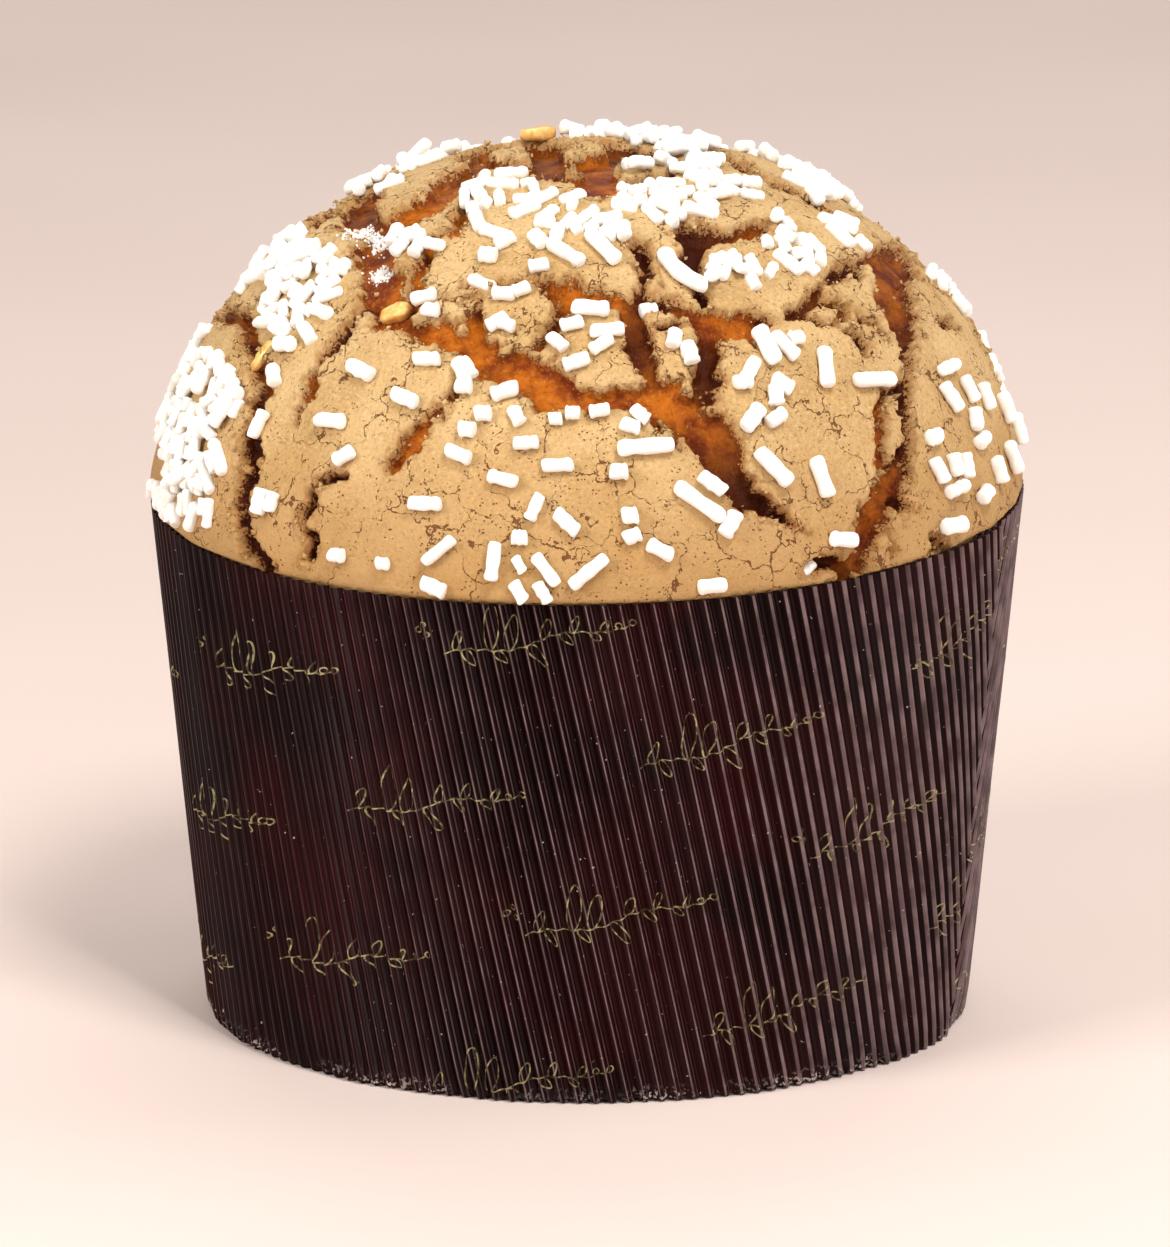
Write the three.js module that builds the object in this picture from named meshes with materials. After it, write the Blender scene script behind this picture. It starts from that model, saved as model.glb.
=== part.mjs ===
// A tall sweet loaf in the pleated paper mould it was baked in, topped with almond glaze and sugar nibs.
// Millimetres, +Z up. The origin is the middle of the underside, on the surface that the mould stands on.
// Bearings are in degrees round the loaf: 0 is the front (-Y) and 90 is the right-hand side (+X).
import * as THREE from "three";

// The mould's wall: a cone of pleated paper that widens upwards.
const FOOT_RADIUS = 83.5;
const RIM_RADIUS = 94.6;
const RIM_HEIGHT = 116;
const RIM_RISE_TO_BACK = 4.3;
const RIM_RISE_TO_RIGHT = 1.3;
const PLEATS = 170;
const PLEAT_HEIGHT = 1.6;
const PAPER = 0.6;
const HEM_INNER_RADIUS = 74.5;

// The mould's floor: a disc that lies on the hem and sags to the ground inside it.
const DISC_RADIUS = 81.7;
const DISC_THICKNESS = 0.8;
const SAG_RADIUS = 71;
const GAP = 0.3;

// The loaf: it fills the mould and rises over the rim as a dome.
const DOME_RADIUS = 93.2;
const DOME_HEIGHT = 74.5;
const DOME_FLATNESS = 1.25;
const DOME_FULLNESS = 0.775;
const LOAF_SIDES = 72;
const DOME_STEPS = 15;

const paperMaterial = new THREE.MeshStandardMaterial({ color: 0x2e1317, roughness: 0.45, metalness: 0 });
const boardMaterial = new THREE.MeshStandardMaterial({ color: 0x4a2b22, roughness: 0.8, metalness: 0 });
const glazeMaterial = new THREE.MeshStandardMaterial({ color: 0xc38a4e, roughness: 0.75, metalness: 0 });
const sugarMaterial = new THREE.MeshStandardMaterial({ color: 0xf6f3ee, roughness: 0.6, metalness: 0 });
const peelMaterial = new THREE.MeshStandardMaterial({ color: 0xd9932c, roughness: 0.35, metalness: 0 });

const loafInMould = new THREE.Group();

function add(name, geometry, material) {
  const mesh = new THREE.Mesh(geometry, material);
  mesh.name = name;
  loafInMould.add(mesh);
  return mesh;
}

const radians = THREE.MathUtils.degToRad;

// The wall's middle radius at a height.
function wallRadius(height) {
  return FOOT_RADIUS + ((RIM_RADIUS - FOOT_RADIUS) * height) / RIM_HEIGHT;
}

// The rim isn't quite level: the loaf pushed it up more at the back and at the right.
function rimHeight(bearing) {
  const turn = radians(bearing);
  return RIM_HEIGHT - RIM_RISE_TO_BACK * Math.cos(turn) + RIM_RISE_TO_RIGHT * Math.sin(turn);
}

function at(bearing, radius, height) {
  const turn = radians(bearing);
  return new THREE.Vector3(radius * Math.sin(turn), -radius * Math.cos(turn), height);
}

// A ring-shaped solid. sectionAt(step) gives the corners of its cross-section at one step round the ring,
// anticlockwise as seen along the way round.
function ringGeometry(steps, sectionAt) {
  const positions = [];
  const corners = sectionAt(0).length;
  for (let step = 0; step < steps; step++) {
    sectionAt(step).forEach((corner) => positions.push(...corner.toArray()));
  }
  const faces = [];
  for (let step = 0; step < steps; step++) {
    const here = step * corners;
    const next = ((step + 1) % steps) * corners;
    for (let corner = 0; corner < corners; corner++) {
      const after = (corner + 1) % corners;
      faces.push(here + corner, next + corner, next + after);
      faces.push(here + corner, next + after, here + after);
    }
  }
  const geometry = new THREE.BufferGeometry();
  geometry.setAttribute("position", new THREE.Float32BufferAttribute(positions, 3));
  geometry.setIndex(faces);
  return geometry;
}

// The pleated wall and its hem, one sheet: the foot of the wall is folded in under the floor and pressed flat.
function mouldWall() {
  const steps = PLEATS * 2;
  return ringGeometry(steps, (step) => {
    const bearing = (step * 360) / steps;
    const fold = (step % 2 ? -1 : 1) * (PLEAT_HEIGHT - PAPER) * 0.5;
    const top = rimHeight(bearing);
    return [
      at(bearing, wallRadius(top) + fold + PAPER / 2, top),
      at(bearing, wallRadius(top) + fold - PAPER / 2, top),
      at(bearing, FOOT_RADIUS + fold - PAPER / 2, PAPER * 1.5),
      at(bearing, HEM_INNER_RADIUS, PAPER),
      at(bearing, HEM_INNER_RADIUS, 0),
      at(bearing, FOOT_RADIUS + fold + PAPER / 2, 0),
    ];
  });
}

function mouldFloor() {
  const raised = PAPER + GAP;
  const slope = raised * 3;
  const profile = [
    [0, 0],
    [SAG_RADIUS, 0],
    [SAG_RADIUS + slope, raised],
    [DISC_RADIUS, raised],
    [DISC_RADIUS, raised + DISC_THICKNESS],
    [SAG_RADIUS + slope, raised + DISC_THICKNESS],
    [SAG_RADIUS, DISC_THICKNESS],
    [0, DISC_THICKNESS],
  ].map(([radius, height]) => new THREE.Vector2(radius, height));
  return standing(new THREE.LatheGeometry(profile, LOAF_SIDES));
}

// Lathes turn about Y, and this object stands along Z.
function standing(geometry) {
  return geometry.rotateX(Math.PI / 2);
}

// A place on the dome, by bearing and climb: 0 at the rim's mean height and 90 at the crown. A little below
// the rim the side follows the mould down.
function onDome(bearing, climb) {
  if (climb < 0) {
    const height = RIM_HEIGHT + climb;
    return at(bearing, DOME_RADIUS + wallRadius(height) - RIM_RADIUS, height);
  }
  const radius = DOME_RADIUS * Math.cos(radians(climb)) ** DOME_FULLNESS;
  return at(bearing, radius, RIM_HEIGHT + DOME_HEIGHT * Math.sin(radians(climb)) ** DOME_FLATNESS);
}

function loaf() {
  const underside = PAPER + GAP + DISC_THICKNESS + GAP;
  const clear = PLEAT_HEIGHT / 2 + 2 * GAP;
  const profile = [new THREE.Vector2(0, underside)];
  for (const height of [underside, RIM_HEIGHT / 2, RIM_HEIGHT - RIM_RISE_TO_BACK]) {
    profile.push(new THREE.Vector2(wallRadius(height) - clear, height));
  }
  for (let step = 0; step <= DOME_STEPS; step++) {
    const place = onDome(90, (90 * step) / DOME_STEPS);
    profile.push(new THREE.Vector2(step < DOME_STEPS ? place.x : 0, place.z));
  }
  return standing(new THREE.LatheGeometry(profile, LOAF_SIDES));
}

// The tangents and the outward normal at a place on the dome.
function frameAt(bearing, climb) {
  const step = 0.2;
  const east = onDome(bearing + step, climb).sub(onDome(bearing - step, climb)).normalize();
  const up = onDome(bearing, climb + step).sub(onDome(bearing, climb - step)).normalize();
  return { east, up, out: new THREE.Vector3().crossVectors(east, up).normalize() };
}

// A grain of pressed sugar: a short rod with rounded ends, which may be bent along an arc.
const NIB_SIDES = 8;
const BENT_STEPS = 6;

function nibGeometry(length, diameter, bend) {
  const radius = diameter / 2;
  const round = Math.min(0.5, length / 5);
  const profile = [new THREE.Vector2(0, -length / 2), new THREE.Vector2(radius * 0.7, -length / 2)];
  const lengths = bend ? BENT_STEPS : 1;
  for (let step = 0; step <= lengths; step++) {
    profile.push(new THREE.Vector2(radius, (length / 2 - round) * ((2 * step) / lengths - 1)));
  }
  profile.push(new THREE.Vector2(radius * 0.7, length / 2), new THREE.Vector2(0, length / 2));
  const geometry = new THREE.LatheGeometry(profile, NIB_SIDES);
  if (bend) {
    bendAlongArc(geometry, length / radians(bend));
  }
  return geometry;
}

// Bends a rod that lies along Y into an arc in its XY plane.
function bendAlongArc(geometry, arcRadius) {
  const position = geometry.attributes.position;
  for (let index = 0; index < position.count; index++) {
    const turn = position.getY(index) / arcRadius;
    const reach = arcRadius - position.getX(index);
    position.setX(index, arcRadius - reach * Math.cos(turn));
    position.setY(index, reach * Math.sin(turn));
  }
}

// Lays a piece that is modelled along Y on the dome, turned from level by so many degrees, resting at a depth
// of its own below its middle.
function lay(mesh, [bearing, climb, turn], depth) {
  const { east, up, out } = frameAt(bearing, climb);
  const along = east.multiplyScalar(Math.cos(radians(turn))).addScaledVector(up, Math.sin(radians(turn)));
  const across = new THREE.Vector3().crossVectors(along, out).normalize();
  mesh.quaternion.setFromRotationMatrix(new THREE.Matrix4().makeBasis(across, along, out));
  mesh.position.copy(onDome(bearing, climb)).addScaledVector(out, depth + GAP);
}

// Single nibs that lie apart from the heaps: bearing, climb, turn, length, diameter and any bend in degrees.
const NIBS = [
  [-54.5, 38, 10, 6, 3.3],
  [-51.5, 25, 80, 6.5, 2.8],
  [-47, 12.5, 85, 5.5, 3.4],
  [-38.5, 28, 3, 7.5, 3.2],
  [-36.5, 36.5, -15, 7.2, 3.3],
  [-34.5, 22.8, 35, 5, 3.2],
  [-33.3, 4.5, 0, 3.4, 3.2],
  [-27.5, 33, -15, 6.5, 3.2],
  [-26, 39.5, 5, 6, 3],
  [-21.5, 16.5, 3, 7.3, 3],
  [-19, 8, 42, 8.5, 2.7],
  [-11.8, 6.5, 85, 8.3, 3.1],
  [-8.7, 11.5, 0, 3.3, 3.2],
  [-5.2, 5, -52, 8, 2.8],
  [0, 5, 40, 9.5, 2.8, 30],
  [-7, 17, 68, 6, 2.9],
  [-2.8, 14.5, -42, 6.5, 3.1],
  [-11.5, 21.5, -12, 6.5, 3.1],
  [-4.3, 24, 4, 6.7, 2.9],
  [3.8, 23, 0, 3.9, 3.7],
  [5.2, 15.5, 0, 3.5, 3.4],
  [9, 9, -28, 6, 3.2],
  [7.5, 26.8, 3, 12, 3.3],
  [-18, 25.2, -18, 6, 3.2],
  [-8.8, 27.5, 5, 5.4, 3.1],
  [-17.3, 29.1, 0, 3.6, 3.5],
  [-12.8, 35.6, 22, 6, 3.3],
  [-19.2, 38.8, -50, 5, 3.1],
  [1.2, 32.7, 10, 4.4, 2.8],
  [7, 32, -45, 4.4, 2.9],
  [14.3, 17.4, -38, 12.5, 3.2],
  [16.2, 20.4, -40, 6.5, 3.1],
  [18.2, 13.3, 55, 5.8, 3.5],
  [25, 22.3, -52, 10, 3.4],
  [32, 19.7, -80, 9, 3.4],
  [34, 7.8, -10, 6.5, 3.2],
  [37.5, 36.8, 72, 9, 3.5],
  [45.5, 33.5, -8, 11, 3.5],
  [28.3, 41.5, -80, 9, 3.6],
  [23, 30.3, 45, 6.5, 3.6],
  [17.5, 55.5, -58, 13, 3.6, 70],
  [-6, 59.5, -38, 10, 3.2],
  [-0.4, 49.2, -5, 8, 3.4],
  [53.5, 5.7, -5, 8, 3.4],
  [65, 32, 0, 8, 3.1],
  [104, 22, -35, 9, 3.2],
  [118, 44, 60, 7, 3.3],
  [136, 13, 20, 8, 3.2],
  [150, 52, -70, 10, 3.4],
  [172, 28, 15, 7.5, 3.1],
  [-163, 60, 45, 9, 3.3],
  [-148, 17, -50, 8.5, 3.2],
  [-126, 40, 5, 7, 3.4],
  [-104, 26, 70, 9, 3.1],
];

// Bits of candied peel: bearing, climb, turn, length, width and thickness.
const PEEL = [
  [-60, 35.5, 78, 8, 2.8, 2],
  [-37.5, 47.8, 30, 7.5, 4, 3],
  [-150, 80, 10, 10, 4.5, 3],
];
const PEEL_SIDES = 8;
const PEEL_STEPS = 5;

// A bit of peel: a flattened spindle with blunt ends.
function peelGeometry(length, width, thickness) {
  const profile = [];
  for (let step = 0; step <= PEEL_STEPS; step++) {
    const turn = (Math.PI * step) / PEEL_STEPS;
    const end = step === 0 || step === PEEL_STEPS;
    profile.push(new THREE.Vector2(end ? 0 : 0.5 * Math.sin(turn) ** 0.5, -0.5 * Math.cos(turn)));
  }
  return new THREE.LatheGeometry(profile, PEEL_SIDES).scale(width, length, thickness);
}

const numbered = (name, index) => `${name}_${String(index + 1).padStart(2, "0")}`;

add("mould_wall", mouldWall(), paperMaterial);
add("mould_floor", mouldFloor(), boardMaterial);
add("loaf", loaf(), glazeMaterial);
NIBS.forEach(([bearing, climb, turn, length, diameter, bend], index) => {
  const nib = add(numbered("sugar_nib", index), nibGeometry(length, diameter, bend), sugarMaterial);
  lay(nib, [bearing, climb, turn], diameter / 2);
});
PEEL.forEach(([bearing, climb, turn, length, width, thickness], index) => {
  const bit = add(numbered("candied_peel", index), peelGeometry(length, width, thickness), peelMaterial);
  lay(bit, [bearing, climb, turn], thickness / 2);
});

export default loafInMould;
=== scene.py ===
"""A tall sweet loaf with a burst almond glaze and sugar nibs, in the pleated paper mould it was baked in.

Sizes are in millimetres and bearings in degrees round the loaf, 0 at the front and 90 at the right.
Meshes are made in millimetres and become metres as they are turned into objects.
"""

import math

import bpy
import numpy as np
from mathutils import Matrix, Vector, noise


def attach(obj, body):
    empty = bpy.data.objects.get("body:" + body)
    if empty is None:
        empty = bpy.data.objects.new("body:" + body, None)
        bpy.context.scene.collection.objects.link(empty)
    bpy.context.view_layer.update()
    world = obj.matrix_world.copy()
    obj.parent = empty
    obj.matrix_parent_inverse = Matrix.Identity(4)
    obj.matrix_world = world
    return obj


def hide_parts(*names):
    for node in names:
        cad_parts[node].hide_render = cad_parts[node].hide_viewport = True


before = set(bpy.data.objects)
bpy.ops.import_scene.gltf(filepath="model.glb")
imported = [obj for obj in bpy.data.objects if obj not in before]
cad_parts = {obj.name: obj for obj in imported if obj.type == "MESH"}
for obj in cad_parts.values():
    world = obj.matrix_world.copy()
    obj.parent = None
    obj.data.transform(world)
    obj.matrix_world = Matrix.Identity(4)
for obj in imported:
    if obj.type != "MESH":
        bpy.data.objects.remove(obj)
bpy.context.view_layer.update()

# ---------------------------------------------------------------------------------------------------------
# Camera: a long lens nearly two metres off, a little above the loaf and looking down on it.
camera_data = bpy.data.cameras.new("camera")
camera_data.lens = 259.8
camera_data.clip_end = 50
camera = bpy.data.objects.new("camera", camera_data)
camera.location = (-0.0005, -1.922, 0.5456)
camera.rotation_euler = (math.radians(90 - 13.47), 0, 0)
bpy.context.scene.collection.objects.link(camera)
bpy.context.scene.camera = camera

# ---------------------------------------------------------------------------------------------------------
# Mould wall: one sheet of corrugated baking paper, cut to a fan and wrapped to a cone, so its pleats stay
# parallel in the flat sheet and lean towards its ends. The ends lap at a seam at the right, and the foot is
# folded in under the mould as a crushed hem.
MM = 0.001
RIM_HEIGHT = 116
RIM_RISE_TO_BACK = 4.3
RIM_RISE_TO_RIGHT = 1.3
PLEAT_DEPTH = 0.75
PLEAT_PITCH = 3.5
PAPER = 0.25
HEM = 9.5
FOLD_RADIUS = 1.1
FOOT_DENTS = 0.45
SEAM_BEARING = 62
# The outer end's lap over the inner one: how wide it is, how high it rises, and over what width it does so.
LAP = 11
LAP_RISE = 1.1
LAP_RAMP = 16
# The inner end under it: how far it is set in, how flat its pleats are pressed, and over what width that
# fades out past the lap.
SET_IN = 0.6
PRESSED_FLAT = 0.8
PRESSED_RAMP = 4


def widest(node, low, high):
    """The radius of a node's furthest point from the axis between two heights, in millimetres."""
    points = np.array([v.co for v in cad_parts[node].data.vertices]) / MM
    chosen = points[(points[:, 2] >= low) & (points[:, 2] <= high)]
    return float(np.hypot(chosen[:, 0], chosen[:, 1]).max())


rim_radius = widest("mould_wall", RIM_HEIGHT - 1, RIM_HEIGHT + 1) - PLEAT_DEPTH
foot_radius = widest("mould_wall", -0.01, 0.01) - PLEAT_DEPTH
wall_slant = math.hypot(RIM_HEIGHT, rim_radius - foot_radius)
# The flat sheet is a fan: these are its radii at the rim and at the foot's fold, and its angle for one turn.
fan_rim = rim_radius * wall_slant / (rim_radius - foot_radius)
fan_foot = fan_rim - wall_slant
fan_turn = 2 * math.pi * rim_radius / fan_rim


def mesh_object(name, points, faces, smooth=True):
    """A mesh from points in millimetres, as an object in metres."""
    data = bpy.data.meshes.new(name)
    data.from_pydata((np.asarray(points, float) * MM).tolist(), [], [tuple(map(int, f)) for f in faces])
    data.validate()
    data.polygons.foreach_set("use_smooth", [smooth] * len(data.polygons))
    piece = bpy.data.objects.new(name, data)
    bpy.context.scene.collection.objects.link(piece)
    return piece


def store(piece, label, values):
    """Keeps a value at each of a piece's points, for its material to read."""
    layer = piece.data.attributes.new(label, "FLOAT", "POINT")
    layer.data.foreach_set("value", values.astype(np.float32))


def wander(points, size, offset=0.0):
    """Smooth noise from about -1 to 1 at each point, with lumps about as large as size in millimetres."""
    return np.array([noise.noise(Vector(p)) for p in (np.asarray(points) / size + offset).tolist()])


def rim_height(bearing):
    """The rim is cut slightly aslant, and stands highest at the back."""
    turn = np.radians(bearing)
    return RIM_HEIGHT - RIM_RISE_TO_BACK * np.cos(turn) + RIM_RISE_TO_RIGHT * np.sin(turn)


def wrap(across, out, lift):
    """Takes points of the flat sheet to the mould. across is measured over the pleats from the sheet's
    middle, out is the distance from the fan's point, and lift stands the paper off the wall."""
    turn = np.arcsin(np.clip(across / out, -1, 1))
    bearing = SEAM_BEARING - 180 + np.degrees(turn) * 360 / math.degrees(fan_turn)
    height = out - fan_foot
    share = np.clip(height / wall_slant, 0, 1)
    bend = np.clip(-height / FOLD_RADIUS, 0, math.pi / 2)
    flat = np.minimum(height + FOLD_RADIUS * math.pi / 2, 0)
    radius = foot_radius + (rim_radius - foot_radius) * share - FOLD_RADIUS * (1 - np.cos(bend)) + flat
    level = FOLD_RADIUS * (1 - np.sin(bend)) + (rim_height(bearing) - FOLD_RADIUS) * share
    dents = FOOT_DENTS * np.sin(turn * 83) * np.sin(turn * 211 + 1) * np.clip(1 - height / 5, 0, 1)
    radius = radius + lift * np.cos(bend) + dents * np.clip(1 + height / 3, 0, 1)
    level = level - lift * np.sin(bend) + PLEAT_DEPTH * 0.5 * np.sin(bend)
    level = np.maximum(level, 0.02)
    angle = np.radians(bearing)
    return np.stack([radius * np.sin(angle), -radius * np.cos(angle), level], -1)


def pleat_wobble(across, out):
    """How far the pleats' wave runs ahead or behind, in radians."""
    return 0.10 * np.sin(across * 0.37 + out * 0.045) + 0.08 * np.sin(across * 0.113 - out * 0.031)


def pleat(across, out):
    """The paper's stand-off at a point of the flat sheet: the wave of the pleats, crushed in the hem, and
    the rise where the sheet's outer end laps over its inner end, which is pressed flat under it."""
    height = out - fan_foot
    wave = np.sin(2 * math.pi * across / PLEAT_PITCH + pleat_wobble(across, out))
    crushed = np.interp(height, [-4, -1, 4], [0.25, 0.6, 1.0])
    depth = PLEAT_DEPTH * crushed * (1 + 0.12 * np.sin(across * 0.21 + 1.7) * np.sin(out * 0.06))
    turn = np.arcsin(np.clip(across / out, -1, 1))
    to_end = out * (fan_turn / 2 - turn)
    lapped = LAP_RISE * np.clip(1 - (to_end - 2) / LAP_RAMP, 0, 1) ** 0.7
    from_start = out * (turn + fan_turn / 2)
    pressed = np.clip(1 - (from_start - LAP + 0.5) / PRESSED_RAMP, 0, 1)
    return wave * depth * (1 - PRESSED_FLAT * pressed) + lapped - SET_IN * pressed


def wall_sheet():
    """The sheet as a grid of columns along the pleats and rows along the mould's rings. Where a slanting end
    cuts a column short, its rows close up on the end."""
    per_pleat = 10
    first_end = fan_turn / 2
    last_end = fan_turn / 2 + LAP / fan_rim
    start = -fan_rim * math.sin(first_end)
    stop = fan_rim * math.sin(last_end)
    columns = int((stop - start) / PLEAT_PITCH * per_pleat)
    across = np.linspace(start, stop, columns)
    heights = [-HEM, -6, -3.2, -1.7, -1.1, -0.5, 0, 1.5, 4, 8, 16]
    heights += list(np.linspace(26, wall_slant - 3, 9)) + [wall_slant - 0.7, wall_slant]
    rows = len(heights)
    out = np.repeat(fan_foot + np.array(heights)[None, :], columns, 0)
    shortest = np.where(across < 0, -across / math.sin(first_end), across / math.sin(last_end))
    out = np.maximum(out, np.minimum(shortest, fan_rim)[:, None])
    grid = np.repeat(across[:, None], rows, 1)
    points = wrap(grid.ravel(), out.ravel(), pleat(grid.ravel(), out.ravel()))
    phase = grid.ravel() / PLEAT_PITCH + pleat_wobble(grid.ravel(), out.ravel()) / (2 * math.pi) + 0.25
    faces = []
    for column in range(columns - 1):
        for row in range(rows - 1):
            a = column * rows + row
            faces.append((a, a + rows, a + rows + 1, a + 1))
    return points, faces, phase


wall_points, wall_faces, wall_phase = wall_sheet()
mould_wall = mesh_object("mould_wall_sheet", wall_points, wall_faces)
store(mould_wall, "pleat", wall_phase - math.floor(wall_phase.min()))
bpy.context.view_layer.objects.active = mould_wall
weld = mould_wall.modifiers.new("weld", "WELD")
weld.merge_threshold = 0.00002
thick = mould_wall.modifiers.new("thickness", "SOLIDIFY")
thick.thickness = PAPER * MM
thick.offset = -1
for modifier in ("weld", "thickness"):
    bpy.ops.object.modifier_apply(modifier=modifier)
mould_wall.data.set_sharp_from_angle(angle=math.radians(50))


class Nodes:
    """A material's node tree, written one node at a time."""

    def __init__(self, name):
        self.material = bpy.data.materials.new(name)
        self.material.use_nodes = True
        self.tree = self.material.node_tree
        self.surface = self.tree.nodes["Principled BSDF"]

    def node(self, kind, inputs=None, **settings):
        """A new node, with its inputs set or linked."""
        made = self.tree.nodes.new("ShaderNode" + kind)
        for key, value in settings.items():
            setattr(made, key, value)
        for key, value in (inputs or {}).items():
            self.put(made.inputs[key], value)
        return made

    def put(self, socket, value):
        if isinstance(value, bpy.types.NodeSocket):
            self.tree.links.new(value, socket)
        else:
            socket.default_value = value

    def set(self, **values):
        for key, value in values.items():
            self.put(self.surface.inputs[key.replace("_", " ")], value)

    def place(self, size):
        """Object coordinates in units of size millimetres."""
        spot = self.node("TexCoord").outputs["Object"]
        return self.node("VectorMath", {0: spot, 3: 1 / (size * MM)}, operation="SCALE").outputs[0]

    def noise(self, size, detail=3.0, roughness=0.5, output="Fac"):
        """Noise from 0 to 1 with lumps of about size millimetres."""
        inputs = {"Vector": self.place(size), "Scale": 1.0, "Detail": detail, "Roughness": roughness}
        return self.node("TexNoise", inputs).outputs[output]

    def math(self, operation, first, second=0.0):
        return self.node("Math", {0: first, 1: second}, operation=operation).outputs[0]

    def plus(self, first, second):
        return self.math("ADD", first, second)

    def minus(self, first, second):
        return self.math("SUBTRACT", first, second)

    def times(self, first, second):
        return self.math("MULTIPLY", first, second)

    def larger(self, first, second):
        return self.math("MAXIMUM", first, second)

    def ramp(self, value, low, high, start=0.0, end=1.0):
        """start where value is at low, end where it is at high, and smooth between them."""
        inputs = {"Value": value, "From Min": low, "From Max": high, "To Min": start, "To Max": end}
        return self.node("MapRange", inputs, interpolation_type="SMOOTHSTEP").outputs["Result"]

    def mix(self, share, first, second):
        inputs = {0: share, 6: first, 7: second}
        return self.node("Mix", inputs, data_type="RGBA").outputs[2]

    def bump(self, height, distance, strength=1.0):
        inputs = {"Height": height, "Distance": distance * MM, "Strength": strength}
        return self.node("Bump", inputs).outputs["Normal"]


NEARLY_BLACK = (0.0055, 0.0010, 0.0012, 1)
MAROON = (0.018, 0.0015, 0.0018, 1)
# The pale colour of the painted highlights along the pleats.
PAINTED_RIDGE_HIGHLIGHT = (0.165, 0.11, 0.11, 1)
FLOUR = (0.42, 0.36, 0.33, 1)


def paper_material():
    """Greaseproof paper, nearly black maroon, with painted highlights: a thin pale stripe along each pleat's
    ridge and a fainter one on its shoulder, widened at the right as a painted reflection and fading to the
    left as painted shade. Sugar and flour cling in its foot. It is rough along the pleats and smooth across
    them."""
    paper = Nodes("pleated_paper")
    phase = paper.node("Attribute", attribute_name="pleat").outputs["Fac"]
    fibre = paper.noise(0.5, detail=4)
    stain = paper.noise(34, detail=2)
    base = paper.mix(paper.ramp(stain, 0.35, 0.7), NEARLY_BLACK, MAROON)
    across = paper.minus(paper.math("FRACT", phase), 0.5)
    place = paper.node("SeparateXYZ", {0: paper.place(100)}).outputs
    # Painted reflection: the highlight stripes grow broader and paler towards the right of the mould.
    right_reflection = paper.ramp(place["X"], 0.15, 0.72)
    highlight_half_width = paper.plus(paper.times(right_reflection, 0.16), 0.05)
    # Painted highlights: a thin pale stripe along each pleat's ridge, and a fainter one on its shoulder.
    ridge = paper.minus(highlight_half_width, paper.math("ABSOLUTE", across))
    ridge = paper.ramp(ridge, -0.01, 0.03)
    shoulder = paper.math("ABSOLUTE", paper.minus(across, 0.28))
    shoulder = paper.times(paper.ramp(shoulder, 0.05, 0.02), 0.45)
    # The highlight stripes vary at random in strength, and fade out towards the left as painted shade.
    highlight_strength = paper.ramp(paper.noise(7, detail=3), 0.3, 0.7, 0.35, 1.0)
    highlight_strength = paper.times(highlight_strength, paper.ramp(place["X"], -0.6, -0.15, 0.2, 1))
    painted_highlights = paper.times(paper.larger(ridge, shoulder), highlight_strength)
    base = paper.mix(painted_highlights, base, PAINTED_RIDGE_HIGHLIGHT)
    speck = paper.ramp(paper.noise(0.9, detail=2), 0.745, 0.77)
    foot = paper.ramp(place["Z"], 0.045, 0.01)
    floury = paper.times(foot, paper.ramp(paper.noise(18), 0.42, 0.6))
    floury = paper.times(floury, paper.ramp(paper.noise(0.8, detail=3), 0.56, 0.6))
    base = paper.mix(paper.larger(speck, floury), base, FLOUR)
    paper.set(Base_Color=base, Roughness=0.36, Specular_IOR_Level=0.08, Anisotropic=1.0)
    paper.set(Anisotropic_Rotation=0.25, Normal=paper.bump(fibre, 0.02, 0.35))
    along = paper.node("Tangent", direction_type="RADIAL", axis="Z")
    paper.set(Tangent=along.outputs["Tangent"])
    return paper.material


mould_wall.data.materials.append(paper_material())
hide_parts("mould_wall")
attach(mould_wall, "root")

# ---------------------------------------------------------------------------------------------------------
# Gold print: small leafy sprigs printed on the flat paper before it was pleated, in rows that step down to
# the right. The print is a thin film, so it follows each pleat.
PRINT_WIDTH = 0.30
PRINT_LIFT = 0.04
SPRIG_TILT = math.radians(12)
SPRIG_SIZE = 1.12
STEM_WAVE = 0.8
RIBBON_STEP = 0.28
# Bearing and height of one sprig, and the steps from it along a row and from row to row.
FIRST_SPRIG = (-6.6, 103.5)
ALONG_ROW = (26, -24.2)
NEXT_ROW = (-41, -14)


def leaf(root_along, root_up, direction, length, width):
    """A leaf's outline as points along and up the sprig, from its root in a direction in degrees."""
    turn = np.linspace(0, 2 * math.pi, max(int(length * 5), 14))
    outward = length / 2 * (1 - np.cos(turn))
    aside = width / 2 * np.sin(turn) * (1.15 - 0.3 * outward / length)
    angle = math.radians(direction)
    along = root_along + outward * math.cos(angle) - aside * math.sin(angle)
    up = root_up + outward * math.sin(angle) + aside * math.cos(angle)
    return np.stack([along, up], -1)


def sprig_strokes():
    """A sprig's strokes: a wavy stem, leaves that shrink to its tip, and two berries. Each leaf has its root
    along the stem, its direction, length and width."""
    stem_along = np.linspace(-18, 18, 130)
    strokes = [np.stack([stem_along, STEM_WAVE * np.sin(stem_along * 0.32)], -1)]
    leaves = [(-16, 60, 4.5, 1.6), (-14, -70, 4.0, 1.4), (-9, 75, 9.5, 2.7), (-5.5, 68, 7.5, 2.4),
              (-8, -60, 3.4, 1.3), (-1.5, -62, 5.5, 1.8), (1.5, 62, 4.2, 1.7), (5, -58, 3.2, 1.4),
              (7, 58, 3.4, 1.4), (10.5, -55, 2.6, 1.2), (12.5, 52, 2.8, 1.2)]
    for along, direction, length, width in leaves:
        strokes.append(leaf(along, STEM_WAVE * math.sin(along * 0.32), direction, length, width))
    strokes.append(leaf(18, -0.4, 20, 1.3, 1.3))
    strokes.append(leaf(15.6, 0.4, -60, 1.2, 1.2))
    return [stroke * SPRIG_SIZE for stroke in strokes]


def berry_strokes():
    """Three loose berries beside a sprig."""
    return [leaf(0, 0, 0, 1.3, 1.3), leaf(1.8, 0.9, 30, 1.2, 1.2), leaf(2.0, -0.9, -30, 1.2, 1.2)]


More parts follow.
